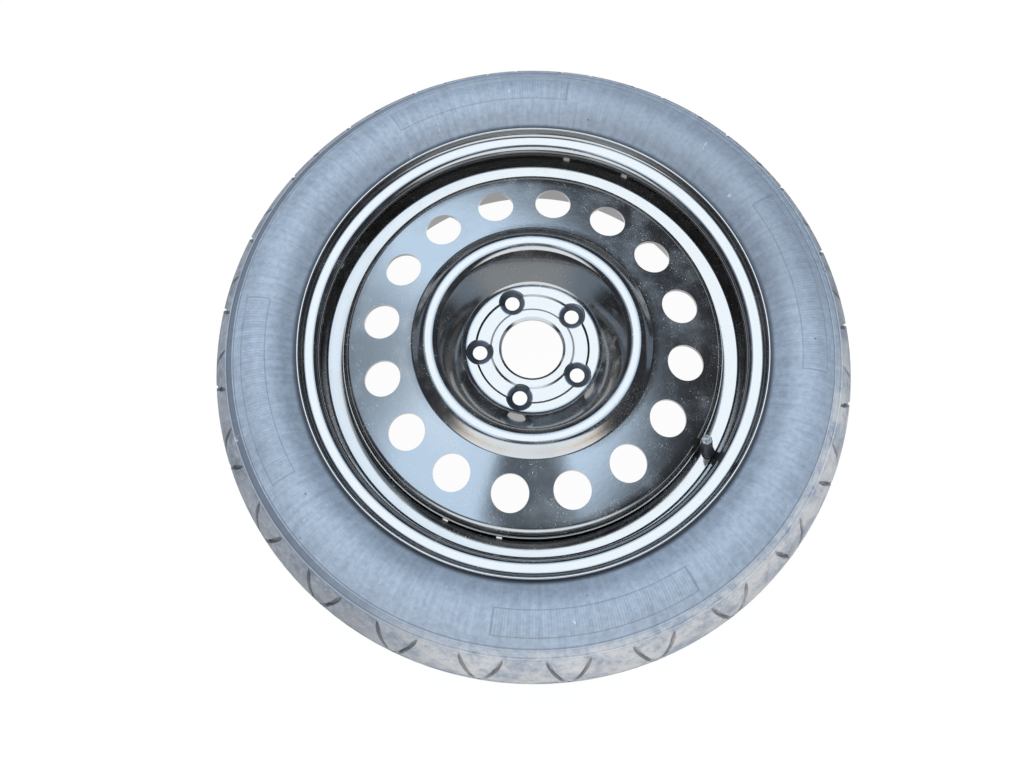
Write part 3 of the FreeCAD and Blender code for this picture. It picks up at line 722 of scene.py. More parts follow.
@dataclass(frozen=True)
class TyreRubber:
    """Weathered tyre rubber with radial streaks, scuffs, road dirt and plain hatched arcs, with painted
    shade and a painted shadow by the rim.

    Attributes:
        deep, pale: colours of fresh rubber and of rubber that has bloomed.
        dark: colour of the collar between the two rings, of spots, lines and tread, and of the painted
            shade and the painted shadow by the bead.
        dirt, scuff: colours of road dirt and of light scuffs.
        gloss, dulling: roughness of fresh rubber, and what bloom and dirt add.
        shine: level of its gloss.
        clouds, streaks, wipes, grit: what the bloom is made of, in this order.
        bloom: share of each of those.
        collar, collar_dark_and_left_shade: radii of the collar, and its darkness all round plus the
            painted shade added at the left.
        left: distances at which the painted shade at the left begins and is full.
        shade_turn, shade_end, shade_dark: angles, outer edge and strength of the darker patch.
        bead, bead_gap_shadow: radii over which the painted shadow in the gap by the rim fades out, and its
            strength.
        spots, spot_clouds, spot_dark: spots to a metre and their size, where they lie, and their strength.
        shoulder: radii between which the shoulder begins.
        near: angles of the side that dirt lies on.
        tread_grit, tread_dark, tread_near: edge and strength of the worn grain, and its loss under dirt.
        lines, line_dark: radii and strength of the two thin dark lines.
        dirt_shoulder, dirt_near: share of dirt on the shoulder all round, and what the near side adds.
        dirt_collar: share of dirt on the near side of the collar.
        dirt_edge: radii between which dirt on the near collar begins.
        dirt_patches, dirt_grit: patches of the dirt, and the share of grit in it.
        scuffs, scuff_grain: patches of scuffs, and the grain in them.
        rings, ring_pitch: radii of the fine rings, and their wave in radians to a metre.
        arcs, arc_shift: how many hatched arcs, and their turn.
        panel, panel_end, inside, inside_end: radii and ends of an arc and of the field within its border.
        hatches, hatch_edge: waves of the hatching in a full turn, and its edge.
        border_dark, hatch_dark: darkness of border and hatching.
        fine, pores: fine streaks and pores in the relief.
        relief: shares of fine streaks, pores, grit, rings, arcs and hatching in the relief.
        relief_depth, relief_strength: depth of the relief and how far it bends the light.
    """

    deep: Colour = (0.120, 0.138, 0.166)
    pale: Colour = (0.325, 0.362, 0.418)
    dark: Colour = (0.070, 0.078, 0.095)
    dirt: Colour = (0.54, 0.48, 0.44)
    scuff: Colour = (0.70, 0.70, 0.71)
    gloss: float = 0.52
    dulling: Point = (0.12, 0.3)
    shine: float = 0.6
    clouds: Cloud = Cloud(9, 4, 0.6)
    streaks: Cloud = Cloud(9.0, 4, 0.65, stretch=(9.0, 6.0, 6.0))
    wipes: Cloud = Cloud(1.6, 4, 0.7, (0.3, 0.7), stretch=(34.0, 7.0, 7.0))
    grit: Cloud = Cloud(170, 4, 0.7, (0.3, 0.7))
    bloom: tuple[float, float, float, float] = (0.4, 0.15, 0.25, 0.3)
    collar: Span = (0.2990, 0.3054, 0.0006)
    collar_dark_and_left_shade: Point = (0.2, 0.6)
    left: Point = (0.05, 0.25)
    shade_turn: Span = (0.30, 1.20, 0.35)
    shade_end: Point = (0.2985, 0.2995)
    shade_dark: float = 0.28
    bead: Point = (0.2375, 0.2415)
    bead_gap_shadow: float = 0.95
    spots: Point = (34, 0.05)
    spot_clouds: Point = (0.4, 0.5)
    spot_dark: float = 0.8
    shoulder: Point = (0.3055, 0.3075)
    near: Span = (-1.65, -0.25, 0.5)
    tread_grit: Point = (0.28, 0.55)
    tread_dark: float = 0.9
    tread_near: float = 0.6
    lines: tuple[Span, Span] = ((0.2966, 0.2976, 0.0004), (0.3042, 0.3052, 0.0004))
    line_dark: float = 0.55
    dirt_shoulder: float = 0.28
    dirt_near: float = 0.62
    dirt_collar: float = 0.6
    dirt_edge: Point = (0.296, 0.301)
    dirt_patches: Cloud = Cloud(40, 5, 0.75, (0.34, 0.60))
    dirt_grit: float = 0.25
    scuffs: Cloud = Cloud(3.2, 5, 0.7, (0.64, 0.72), 0.55, (9.0, 6.0, 6.0))
    scuff_grain: Cloud = Cloud(130, 3, 0.5, (0.46, 0.62))
    rings: Span = (0.2915, 0.2985, 0.0005)
    ring_pitch: float = 2900.0
    arcs: float = 4.0
    arc_shift: float = 0.6
    panel: Span = (0.2625, 0.2875, 0.0003)
    panel_end: Point = (0.18, 0.19)
    inside: Span = (0.2634, 0.2866, 0.0003)
    inside_end: Point = (0.20, 0.21)
    hatches: float = 620.0
    hatch_edge: Point = (-0.3, 0.3)
    border_dark: float = 0.45
    hatch_dark: float = 0.14
    fine: Cloud = Cloud(4.0, stretch=(60.0, 10.0, 10.0))
    pores: Cloud = Cloud(900)
    relief: tuple[float, ...] = (0.4, 0.4, 0.6, 0.5, 1.4, 0.5)
    relief_depth: float = 0.00025
    relief_strength: float = 0.55

    def dark_layers(self, s: Shader, near: Value) -> list[Value]:
        """Return the shares of dark rubber, painted shade and painted shadow, in the order in which they
        are laid.
        """
        radius, angle, _ = s.polar()
        # Painted shade: the collar is darkened further at the left of the wheel.
        left = (0.0 - s.axes(s.place())[0]).step(*self.left)
        collar = radius.band(*self.collar) * (self.collar_dark_and_left_shade[0] + left * self.collar_dark_and_left_shade[1])
        shade = angle.band(*self.shade_turn) * (1 - radius.step(*self.shade_end)) * self.shade_dark
        # Painted shadow: the rubber by the bead is darkened where the rim's flange shades the gap.
        bead = (1 - radius.step(*self.bead)) * self.bead_gap_shadow
        spots = s.specks(*self.spots) * self.clouds.plain(s).step(*self.spot_clouds) * self.spot_dark
        grain = self.grit.plain(s).step(*self.tread_grit) * (1 - near * self.tread_near)
        tread = radius.step(*self.shoulder) * grain * self.tread_dark
        lines = reduce(Value.most, [radius.band(*line) for line in self.lines]) * self.line_dark
        return [collar.most(shade), bead.most(spots), tread, lines]

    def soil(self, s: Shader, near: Value) -> Value:
        """Return the share of road dirt on shoulder and collar."""
        radius = s.polar()[0]
        on_shoulder = radius.step(*self.shoulder) * (self.dirt_shoulder + near * self.dirt_near)
        on_collar = radius.step(*self.dirt_edge) * near * self.dirt_collar
        patches = self.dirt_patches.share(s) * (1 - self.dirt_grit) + self.grit.share(s) * self.dirt_grit
        return on_shoulder.most(on_collar) * patches

    def hatching(self, s: Shader) -> tuple[Value, Value, Value]:
        """Return the shares of the plain arcs, of the field within their borders and of its hatching."""
        radius, angle, _ = s.polar()
        along = (angle * self.arcs + self.arc_shift).wave()
        panel = radius.band(*self.panel) * along.step(*self.panel_end)
        inside = radius.band(*self.inside) * along.step(*self.inside_end)
        return panel, inside, (angle * self.hatches).wave().step(*self.hatch_edge) * inside

    def build(self) -> bpy.types.Material:
        """Return the material."""
        s = Shader.named("tyre_rubber")
        radius, angle, _ = s.polar()
        near = angle.band(*self.near)
        bloomed = (self.clouds.plain(s), self.streaks.plain(s), self.wipes.share(s), self.grit.share(s))
        bloom = reduce(Value.__add__, [part * share for part, share in zip(bloomed, self.bloom)])
        rubber = s.mix(bloom, self.deep, self.pale)
        for layer in self.dark_layers(s, near):
            rubber = s.mix(layer, rubber, self.dark)
        soil = self.soil(s, near)
        rubber = s.mix(soil, rubber, self.dirt)
        rubber = s.mix(self.scuffs.share(s) * self.scuff_grain.share(s), rubber, self.scuff)
        panel, inside, hatch = self.hatching(s)
        rubber = s.mix((panel - inside) * self.border_dark + hatch * self.hatch_dark, rubber, self.dark)
        rings = (radius * self.ring_pitch).wave() * radius.band(*self.rings)
        raised = (self.fine.plain(s), self.pores.plain(s), self.grit.plain(s), rings, panel, hatch)
        relief = reduce(Value.__add__, [part * share for part, share in zip(raised, self.relief)])
        return s.principled(
            Base_Color=rubber,
            Roughness=self.gloss + bloom * self.dulling[0] + soil * self.dulling[1],
            Specular_IOR_Level=self.shine,
            Normal=s.bump(relief, self.relief_depth, self.relief_strength),
        )


@dataclass(frozen=True)
class Moulding:
    """Moulded rubber or plastic with a fine grain and dust on its upward faces.

    Attributes:
        name: the material's name.
        colour, dust: colours of the clean moulding and of the dust.
        amount: share of dust on upward faces.
        gloss, dulling: roughness of the clean moulding, and what dust adds.
        lying: heights of the normal between which dust comes to lie.
        patches: patches of the dust.
        grains, grain_share: stray grains to a metre and their size, and their share of dust.
        grain, grain_depth, grain_strength: the moulding's fine grain.
    """

    name: str
    colour: Colour
    dust: Colour = (0.45, 0.45, 0.45)
    amount: float = 0.25
    gloss: float = 0.42
    dulling: float = 0.4
    lying: Point = (0.55, 0.95)
    patches: Cloud = Cloud(500, 3, 0.6, (0.35, 0.65))
    grains: Point = (900, 0.2)
    grain_share: float = 0.15
    grain: Cloud = Cloud(1500)
    grain_depth: float = 0.00004
    grain_strength: float = 0.4

    def build(self) -> bpy.types.Material:
        """Return the material."""
        s = Shader.named(self.name)
        dust = s.upward(*self.lying) * self.patches.share(s) * self.amount
        dust = dust + s.specks(*self.grains) * self.grain_share
        return s.principled(
            Base_Color=s.mix(dust, self.colour, self.dust),
            Roughness=self.gloss + dust * self.dulling,
            Normal=s.bump(self.grain.plain(s), self.grain_depth, self.grain_strength),
        )


@dataclass(frozen=True)
class BareMetal:
    """Bare turned or drawn metal with fine marks and a little tarnish.

    Attributes:
        name: the material's name.
        colour: of the metal.
        gloss, dulling: roughness of clean metal, and what tarnish adds.
        tarnish, tarnish_dark: patches of tarnish, and the share of colour left in it.
        marks, mark_depth, mark_strength: the fine marks.
    """

    name: str
    colour: Colour
    gloss: float = 0.28
    dulling: float = 0.3
    tarnish: Cloud = Cloud(300, 3, 0.5, (0.4, 0.7), 0.5)
    tarnish_dark: float = 0.55
    marks: Cloud = Cloud(2600)
    mark_depth: float = 0.00002
    mark_strength: float = 0.4

    def build(self) -> bpy.types.Material:
        """Return the material."""
        s = Shader.named(self.name)
        tarnish = self.tarnish.share(s)
        dark = tuple(self.tarnish_dark * c for c in self.colour)
        return s.principled(
            Base_Color=s.mix(tarnish, self.colour, dark),
            Metallic=1.0,
            Roughness=self.gloss + tarnish * self.dulling,
            Normal=s.bump(self.marks.plain(s), self.mark_depth, self.mark_strength),
        )


# Wheel


@dataclass
class Rim:
    """The rolled rim: flanges, bead seats, shelf and well.

    Attributes:
        line: corners of the tyre's side, from the street lip to the hidden one.
        sheet: thickness of the sheet.
        hole: radius of the valve hole.
        drill: heights between which the hole's drill reaches, in the valve's frame.
        columns, drill_sides: faces round the rim and round the drill.
        bend_step: degrees between points on a bend.
        row_step: largest distance between rows of points.
    """

    line: tuple[Corner, ...] = (
        (235.8, 62.5, 0.0),
        (235.8, 50.8, 9.5),
        (218.3, 50.8, 6.5),
        (215.52, 19.0, 5.0),
        (198.0, 14.31, 3.0),
        (198.0, -20.0, 3.0),
        (216.22, -27.0, 5.0),
        (218.3, -50.8, 6.5),
        (235.8, -50.8, 9.5),
        (235.8, -62.5, 0.0),
    )
    sheet: float = 3.0
    hole: float = 5.75
    drill: Point = (-8.0, 4.0)
    columns: int = 312
    drill_sides: int = 48
    bend_step: float = 5.0
    row_step: float = 6.0

    def build(self, valve: "Valve", paint: bpy.types.Material) -> None:
        """Roll the rim, pierce the valve hole and paint it."""
        outline = sheet_outline(rounded_path(self.line, self.bend_step), self.sheet)
        rim = lathe("rim_shell", spaced_loop(outline, self.row_step), self.columns)
        drill = rod("valve_drill", self.hole, *self.drill, self.drill_sides)
        drill.data.transform(valve.stand())
        subtract(rim, drill)
        dress(rim, paint, Body.WHEEL, Slot.PAINT, "rim")


@dataclass
class Disc:
    """The pressed disc: hub face, bowl, crest, vented ring, shoulder and skirt.

    Attributes:
        line: corners of the street side, from the bore to the skirt's edge.
        sheet: thickness of the sheet.
        recess: inner radius, outer radius and depth of the ring between the lug holes.
        recess_slope: width of that ring's sloping edges.
        bore_round: width and depth of the bore's eased edge.
        vents, vent_radius, vent_punch: the vents, their radius and the heights that their punch spans.
        lugs, lug_radius: the lug holes and their radius.
        lug_land, seat_radius: height at which a lug's cone seat starts, and the seat's radius at the face.
        drill_past: how far the lug drill reaches below and above the sheet.
        drill_flare: how much wider the drill's top is than the seat.
        drains, drain_width, drain_top: the skirt's notches in two rows, their width and their top.
        drain_reach: how far a notch's cutter reaches to both sides of the skirt.
        columns, vent_sides, lug_sides: faces round the disc, a vent and a lug hole.
        bend_step: degrees between points on a bend.
        row_step: largest distance between rows of points.
        crease: degrees from which an edge stays sharp.
    """

    line: tuple[Corner, ...] = (
        (31.7, 29.2, 0.0),
        (70.0, 29.2, 10.0),
        (101.5, 74.0, 13.0),
        (121.0, 57.5, 6.0),
        (194.95, 39.06, 12.0),
        (194.95, -6.0, 0.0),
    )
    sheet: float = 4.5
    recess: tuple[float, float, float] = (41.6, 59.2, 1.3)
    recess_slope: float = 2.2
    bore_round: tuple[float, float] = (2.6, 2.4)
    vents: Ring = field(default_factory=lambda: Ring(16, 154.8, 83.9))
    vent_radius: float = 18.5
    vent_punch: Point = (10.0, 90.0)
    lugs: Ring = field(default_factory=lambda: Ring(5, 54.0, 114.5, 24.7))
    lug_radius: float = 7.5
    lug_land: float = 0.4
    seat_radius: float = 13.6
    drill_past: Point = (3.0, 10.0)
    drill_flare: float = 4.0
    drains: tuple[Ring, Ring] = field(
        default_factory=lambda: (Ring(4, 193.0, -97.7), Ring(4, 193.0, -114.3))
    )
    drain_width: float = 5.5
    drain_top: float = 20.0
    drain_reach: float = 9.0
    columns: int = 320
    vent_sides: int = 72
    lug_sides: int = 64
    bend_step: float = 4.0
    row_step: float = 7.0
    crease: float = 25.0

    def outline(self) -> list[Point]:
        """Return the disc's closed section."""
        street = rounded_path(self.line, self.bend_step)
        bore, face, _ = self.line[0]
        wide, deep = self.bore_round
        lip = [(bore, face - deep), (bore + wide, face)]
        inner, outer, depth = self.recess
        slope = self.recess_slope
        floor = face - depth
        steps = [(inner, face), (inner + slope, floor), (outer - slope, floor), (outer, face)]
        back = beside(street, self.sheet)
        return spaced_loop([*lip, *steps, *street[1:], *reversed(back)], self.row_step)

    def lug_tool(self) -> bpy.types.Object:
        """Return the shape that drills a lug hole and its cone seat, from the back face up."""
        below, above = self.drill_past
        seat = self.sheet - self.recess[2]
        outline = [
            (0.0, -below),
            (self.lug_radius, -below),
            (self.lug_radius, self.lug_land),
            (self.seat_radius, seat),
            (self.seat_radius + self.drill_flare, seat + above),
            (0.0, seat + above),
        ]
        return lathe("lug_tool", outline, self.lug_sides)

    def drain_tool(self) -> bpy.types.Object:
        """Return the block that cuts one notch in the skirt."""
        reach = self.drain_reach
        half = self.drain_width / 2
        loop = [(-reach, -half), (reach, -half), (reach, half), (-reach, half)]
        heights = (2 * self.line[-1][1], self.drain_top)
        corners = np.array([(x, y, z) for z in heights for x, y in loop]) * MM
        return new_object("drain_tool", corners, stack_faces(len(heights), len(loop)))

    def build(self, paint: bpy.types.Material) -> None:
        """Press the disc, pierce it and paint it."""
        disc = lathe("disc_shell", self.outline(), self.columns)
        punch = rod("vent_tool", self.vent_radius, *self.vent_punch, self.vent_sides)
        subtract(disc, self.vents.make("vent_punches", punch))
        subtract(disc, self.lugs.make("lug_drills", self.lug_tool()))
        for ring in self.drains:
            subtract(disc, ring.make("drain_cutters", self.drain_tool()))
        smooth(disc.data, self.crease)
        dress(disc, paint, Body.WHEEL, Slot.PAINT, "disc")


@dataclass
class Tyre:
    """The tyre, moulded with sidewall rings, shoulder slots and tread grooves.

    Attributes:
        sidewall: corners of the outside, from bead toe to the first sidewall ring.
        rings: places of the two raised rings.
        ring_height, ring_width: height of a ring, and half of its width.
        ring_round: shares of width and height at a ring's rounded shoulders.
        crown: radius of the tyre.
        tread_arc, tread_edge: radius of the tread's curve, and height of its edge.
        groove, groove_ease: heights of a tread groove, and the size of its eased corners.
        depth: of grooves and slots.
        liner: corners of the inside, from crown to toe.
        slots, slot_first, slot_lean: pairs of shoulder slots, angle of the first and lean, in degrees.
        slot_top, slot_full, slot_low: heights at which a slot starts, is full and runs out into a groove.
        slot_width, slot_wall: widths of a slot there, and how far its walls lean in.
        fill: points between two slots.
        bend_step, liner_bend: degrees between points on a bend, outside and inside.
        wall_step, collar_step, tread_steps, liner_step: distances between rows of points.
        crease: degrees from which an edge stays sharp.
    """

    sidewall: tuple[Corner, ...] = (
        (216.59, 30.0, 0.0),
        (218.4, 50.7, 6.4),
        (230.28, 50.7, 9.6),
        (239.78, 60.2, 2.5),
        (267.0, 88.2, 31.7),
        (298.4, 64.0, 0.0),
    )
    rings: tuple[Point, Point] = ((298.4, 64.0), (306.0, 59.5))
    ring_height: float = 0.7
    ring_width: float = 0.9
    ring_round: Point = (0.6, 0.8)
    crown: float = 330.0
    tread_arc: float = 90.0
    tread_edge: float = 47.0
    groove: Point = (19.0, 13.0)
    groove_ease: float = 0.6
    depth: float = 5.0
    liner: tuple[Corner, ...] = (
        (318.0, 0.0, 0.0),
        (309.0, 47.0, 25.0),
        (272.0, 79.5, 30.0),
        (236.0, 46.0, 12.0),
        (216.59, 30.0, 0.0),
    )
    slots: int = 24
    slot_first: float = 101.8
    slot_lean: float = 25.0
    slot_top: float = 57.0
    slot_full: float = 52.0
    slot_low: float = 18.0
    slot_width: Point = (2.0, 5.0)
    slot_wall: float = 0.08
    fill: int = 4
    bend_step: float = 6.0
    liner_bend: float = 12.0
    wall_step: float = 4.0
    collar_step: float = 2.0
    tread_steps: Point = (2.5, 4.0)
    liner_step: float = 12.0
    crease: float = 38.0

    def arc_centre(self) -> float:
        """Return the radius at which the tread's curve has its centre."""
        return self.crown - self.tread_arc

    def tread(self, high: float, low: float, step: float) -> list[Point]:
        """Return points down the tread's curve from one height to another."""
        count = max(1, round((high - low) / step))
        heights = [high + (low - high) * i / count for i in range(count + 1)]
        return [(self.arc_centre() + math.sqrt(self.tread_arc**2 - z * z), z) for z in heights]

    def raised(self, before: Point, place: Point, after: Point) -> list[Point]:
        """Return a low half-round ring that stands at a corner of the section."""
        along = unit(before, after)
        wide, tall = self.ring_round
        corners = [(before, 1.0, 0.0), (before, wide, tall), (after, 0.0, 1.0)]
        corners += [(after, wide, tall), (after, 1.0, 0.0)]
        points = []
        for toward, run, rise in corners:
            side = unit(place, toward)
            beside_it = run * self.ring_width
            out = rise * self.ring_height
            r = place[0] + side[0] * beside_it - along[1] * out
            z = place[1] + side[1] * beside_it + along[0] * out
            points.append((r, z))
        return points

    def half(self) -> list[Point]:
        """Return the street half of the outside, from bead toe to just above the crown."""
        high, low = self.groove
        shoulder_step, rib_step = self.tread_steps
        shoulder = self.tread(self.tread_edge, high, shoulder_step)
        rib = self.tread(low, 0.0, rib_step)[:-1]
        side = rounded_path(self.sidewall, self.bend_step)[:-1]
        inner, outer = self.rings
        first = self.raised(side[-1], inner, outer)
        second = self.raised(inner, outer, shoulder[0])
        wall = spaced(side + first[:1], self.wall_step) + first[1:]
        wall += spaced([first[-1], second[0]], self.collar_step)[1:] + second[1:]
        wall += spaced([second[-1], shoulder[0]], self.collar_step)[1:]
        floor = self.crown - self.depth
        ease = self.groove_ease
        groove = [(floor + ease, high), (floor, high - ease), (floor, low + ease), (floor + ease, low)]
        return wall + shoulder[1:] + groove + rib

    def section(self) -> tuple[list[Point], int]:
        """Return the whole closed section and how many of its first points are the outside's."""
        half = self.half()
        outside = half + [(self.crown, 0.0)] + [(r, -z) for r, z in reversed(half)]
        inner = spaced(rounded_path(self.liner, self.liner_bend), self.liner_step)[:-1]
        return outside + [(r, -z) for r, z in reversed(inner[1:])] + inner, len(outside)

    def slot_share(self, height: float) -> float:
        """Return how full a slot is at a height: 0 at its start, 1 where it is full."""
        share = (self.slot_top - abs(height)) / (self.slot_top - self.slot_full)
        return min(1.0, max(0.0, share))

    def columns_at(self, radius: float, height: float) -> tuple[list[float], list[bool]]:
        """Return the angles of one row's points, and which of them lie in a slot.

        Args:
            radius: of the row.
            height: of the row.

        Returns:
            Angles in radians and flags, both in order round the tyre.
        """
        level = min(max(abs(height), self.groove[1]), self.slot_top)
        lean = (self.slot_top - level) * math.tan(math.radians(self.slot_lean)) / radius
        narrow, wide = self.slot_width
        half = (narrow + (wide - narrow) * self.slot_share(level)) / 2 / radius
        wall = self.slot_wall / radius
        pitch = math.pi / self.slots
        centres = []
        for i in range(2 * self.slots + 1):
            side = 1 if i % 2 else -1
            centres.append(math.radians(self.slot_first) + i * pitch + side * lean)
        angles: list[float] = []
        inside: list[bool] = []
        for here, there in zip(centres, centres[1:]):
            angles += [here - half, here - half + wall, here, here + half - wall, here + half]
            inside += [False, True, True, True, False]
            gap = there - here - 2 * half
            angles += [here + half + gap * (k + 1) / (self.fill + 1) for k in range(self.fill)]
            inside += [False] * self.fill
        return angles, inside

    def slot_floor(self, r: float, z: float) -> Point:
        """Return where a slot's floor lies under a point of the outside."""
        centre = self.arc_centre()
        reach = math.hypot(r - centre, z)
        sunk = max(0.0, reach - (self.tread_arc - self.depth)) * self.slot_share(z)
        share = (reach - sunk) / reach
        return (centre + (r - centre) * share, z * share)

    def build(self, rubber: bpy.types.Material) -> None:
        """Mould the tyre and dress it."""
        section, outside = self.section()
        rows = []
        for number, (r, z) in enumerate(section):
            slotted = number < outside and abs(z) > self.slot_low
            floor = self.slot_floor(r, z) if slotted else (r, z)
            row = []
            for angle, deep in zip(*self.columns_at(r, z)):
                at_r, at_z = floor if deep else (r, z)
                row.append((at_r * math.cos(angle), at_r * math.sin(angle), at_z))
            rows.append(row)
        places = np.array(rows) * MM
        faces = grid_faces(*places.shape[:2])
        tyre = new_object("tyre_moulding", places.reshape(-1, 3), faces, self.crease)
        dress(tyre, rubber, Body.WHEEL, Slot.TYRE, "tyre")


@dataclass
class Valve:
    """The snap-in valve: rubber body, ribbed cap and the core's spring.

    Attributes:
        angle: of the valve round the wheel, in degrees.
        foot: radius and height of the valve's foot on the shelf.
        lean: of the valve towards the wheel's axis, in degrees.
        rubber, cap: corners of the rubber body and of the cap.
        rubber_bend, cap_bend: degrees between points on their bends.
        rubber_sides, cap_sides: faces round them.
        ribs: the grip ribs round the cap.
        rib_loop: corners of a rib's section, the last and first of them inside the cap.
        rib_rows: heights of a rib's sections and the share of it that stands out there.
        rib_crease, coil_crease: degrees from which an edge of a rib or of the spring stays sharp.
        coil, wire: radii of the spring and of its wire.
        coil_low, coil_high, coil_turns: ends of the spring's middle line, and its turns.
        coil_steps, wire_sides: points to a turn, and faces round the wire.
        press: how far the core's pin goes down; not used.
    """

    angle: float = -29.2
    foot: Point = (206.5, 19.6895)
    lean: float = 15.0
    rubber: tuple[Corner, ...] = (
        (3.3, 25.0, 0.0),
        (5.0, 25.0, 0.8),
        (5.6, 10.0, 6.0),
        (6.8, 2.8, 1.6),
        (6.0, 0.03, 0.0),
        (5.72, 0.03, 0.0),
        (5.72, -3.03, 0.0),
        (6.0, -3.03, 0.0),
        (7.8, -5.33, 1.0),
        (7.8, -7.13, 1.0),
        (4.6, -11.0, 0.5),
        (3.3, -11.0, 0.0),
    )
    cap: tuple[Corner, ...] = (
        (3.93, 25.8, 0.0),
        (4.9, 25.8, 0.3),
        (4.9, 38.5, 0.9),
        (3.2, 38.5, 0.3),
        (2.6, 37.9, 0.3),
        (0.0, 37.9, 0.0),
        (0.0, 35.2, 0.0),
        (3.93, 35.2, 0.0),
    )
    rubber_bend: float = 12.0
    rubber_sides: int = 64
    cap_bend: float = 15.0
    cap_sides: int = 84
    ribs: Ring = field(default_factory=lambda: Ring(14, 4.85, 0.0, 26.2))
    rib_loop: tuple[Point, ...] = (
        (-0.3, -0.55),
        (0.35, -0.55),
        (0.5, -0.275),
        (0.5, 0.275),
        (0.35, 0.55),
        (-0.3, 0.55),
    )
    rib_rows: tuple[Point, ...] = ((0.0, 0.6), (0.5, 1.0), (10.8, 1.0), (11.6, 0.5))
    rib_crease: float = 50.0
    coil: float = 0.78
    wire: float = 0.13
    coil_low: float = 18.58
    coil_high: float = 26.22
    coil_turns: int = 6
    coil_steps: int = 24
    wire_sides: int = 8
    coil_crease: float = 60.0
    press: float = 1.2

    def stand(self) -> Matrix:
        """Return the turn and place of the valve's own frame in the wheel."""
        turn = Matrix.Rotation(math.radians(self.angle), 4, "Z")
        lean = Matrix.Rotation(math.radians(-self.lean), 4, "Y")
        lift = Matrix.Translation(Vector((self.foot[0], 0.0, self.foot[1])) * MM)
        return turn @ lift @ lean

    def rib_shape(self) -> bpy.types.Object:
        """Return one rounded grip rib of the cap."""
        places = []
        for z, share in self.rib_rows:
            places += [(x * share if x > 0 else x, y, z) for x, y in self.rib_loop]
        faces = stack_faces(len(self.rib_rows), len(self.rib_loop))
        return new_object("cap_rib", np.array(places) * MM, faces, self.rib_crease)

    def spring(self) -> bpy.types.Object:
        """Return the core's coil spring."""
        steps = self.coil_steps * self.coil_turns
        places = []
        for i in range(steps + 1):
            turn = 2 * math.pi * i / self.coil_steps
            z = self.coil_low + (self.coil_high - self.coil_low) * i / steps
            for j in range(self.wire_sides):
                round_wire = 2 * math.pi * j / self.wire_sides
                r = self.coil + self.wire * math.cos(round_wire)
                rise = self.wire * math.sin(round_wire)
                places.append((r * math.cos(turn), r * math.sin(turn), z + rise))
        faces = stack_faces(steps + 1, self.wire_sides)
        return new_object("core_coil", np.array(places) * MM, faces, self.coil_crease)

    def squash(self, coil: bpy.types.Object) -> None:
        """Give the spring a mesh of its own."""
        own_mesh(coil)

    def build(
        self, rubber: bpy.types.Material, plastic: bpy.types.Material, steel: bpy.types.Material
    ) -> None:
        """Mould the valve's visible pieces, wind its spring and dress them."""
        body = lathe("valve_rubber_body", rounded_path(self.rubber, self.rubber_bend), self.rubber_sides)
        cap = lathe("valve_cap_shell", rounded_path(self.cap, self.cap_bend), self.cap_sides)
        ribs = self.ribs.make("valve_cap_ribs", self.rib_shape(), plastic)
        coil = self.spring()
        for piece in (body, cap, ribs, coil):
            piece.data.transform(self.stand())
        dress(body, rubber, Body.WHEEL, Slot.RUBBER, "valve_body")
        dress(cap, plastic, Body.CAP, Slot.PLASTIC, "valve_cap")
        dress(ribs, plastic, Body.CAP, Slot.PLASTIC)
        dress(coil, steel, Body.WHEEL, Slot.SPRING, "core_spring")
        self.squash(coil)


@dataclass
class Solids:
    """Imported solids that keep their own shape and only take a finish.

    Attributes:
        brass, seals, welds: names of the solids of each finish.
    """

    brass: tuple[str, ...] = ("valve_stem", "core_plug", "core_barrel", "core_pin", "core_cup")
    seals: tuple[str, ...] = ("valve_cap_seal", "core_barrel_seal", "core_cup_seal")
    welds: tuple[str, ...] = ("weld_beads",)

    def finish(self, names: Sequence[str], material: bpy.types.Material) -> None:
        """Give each named solid a material."""
        for name in names:
            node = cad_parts[name]
            node.data.materials.clear()
            node.data.materials.append(material)
            log.info("%s: finished", name)


# Stage


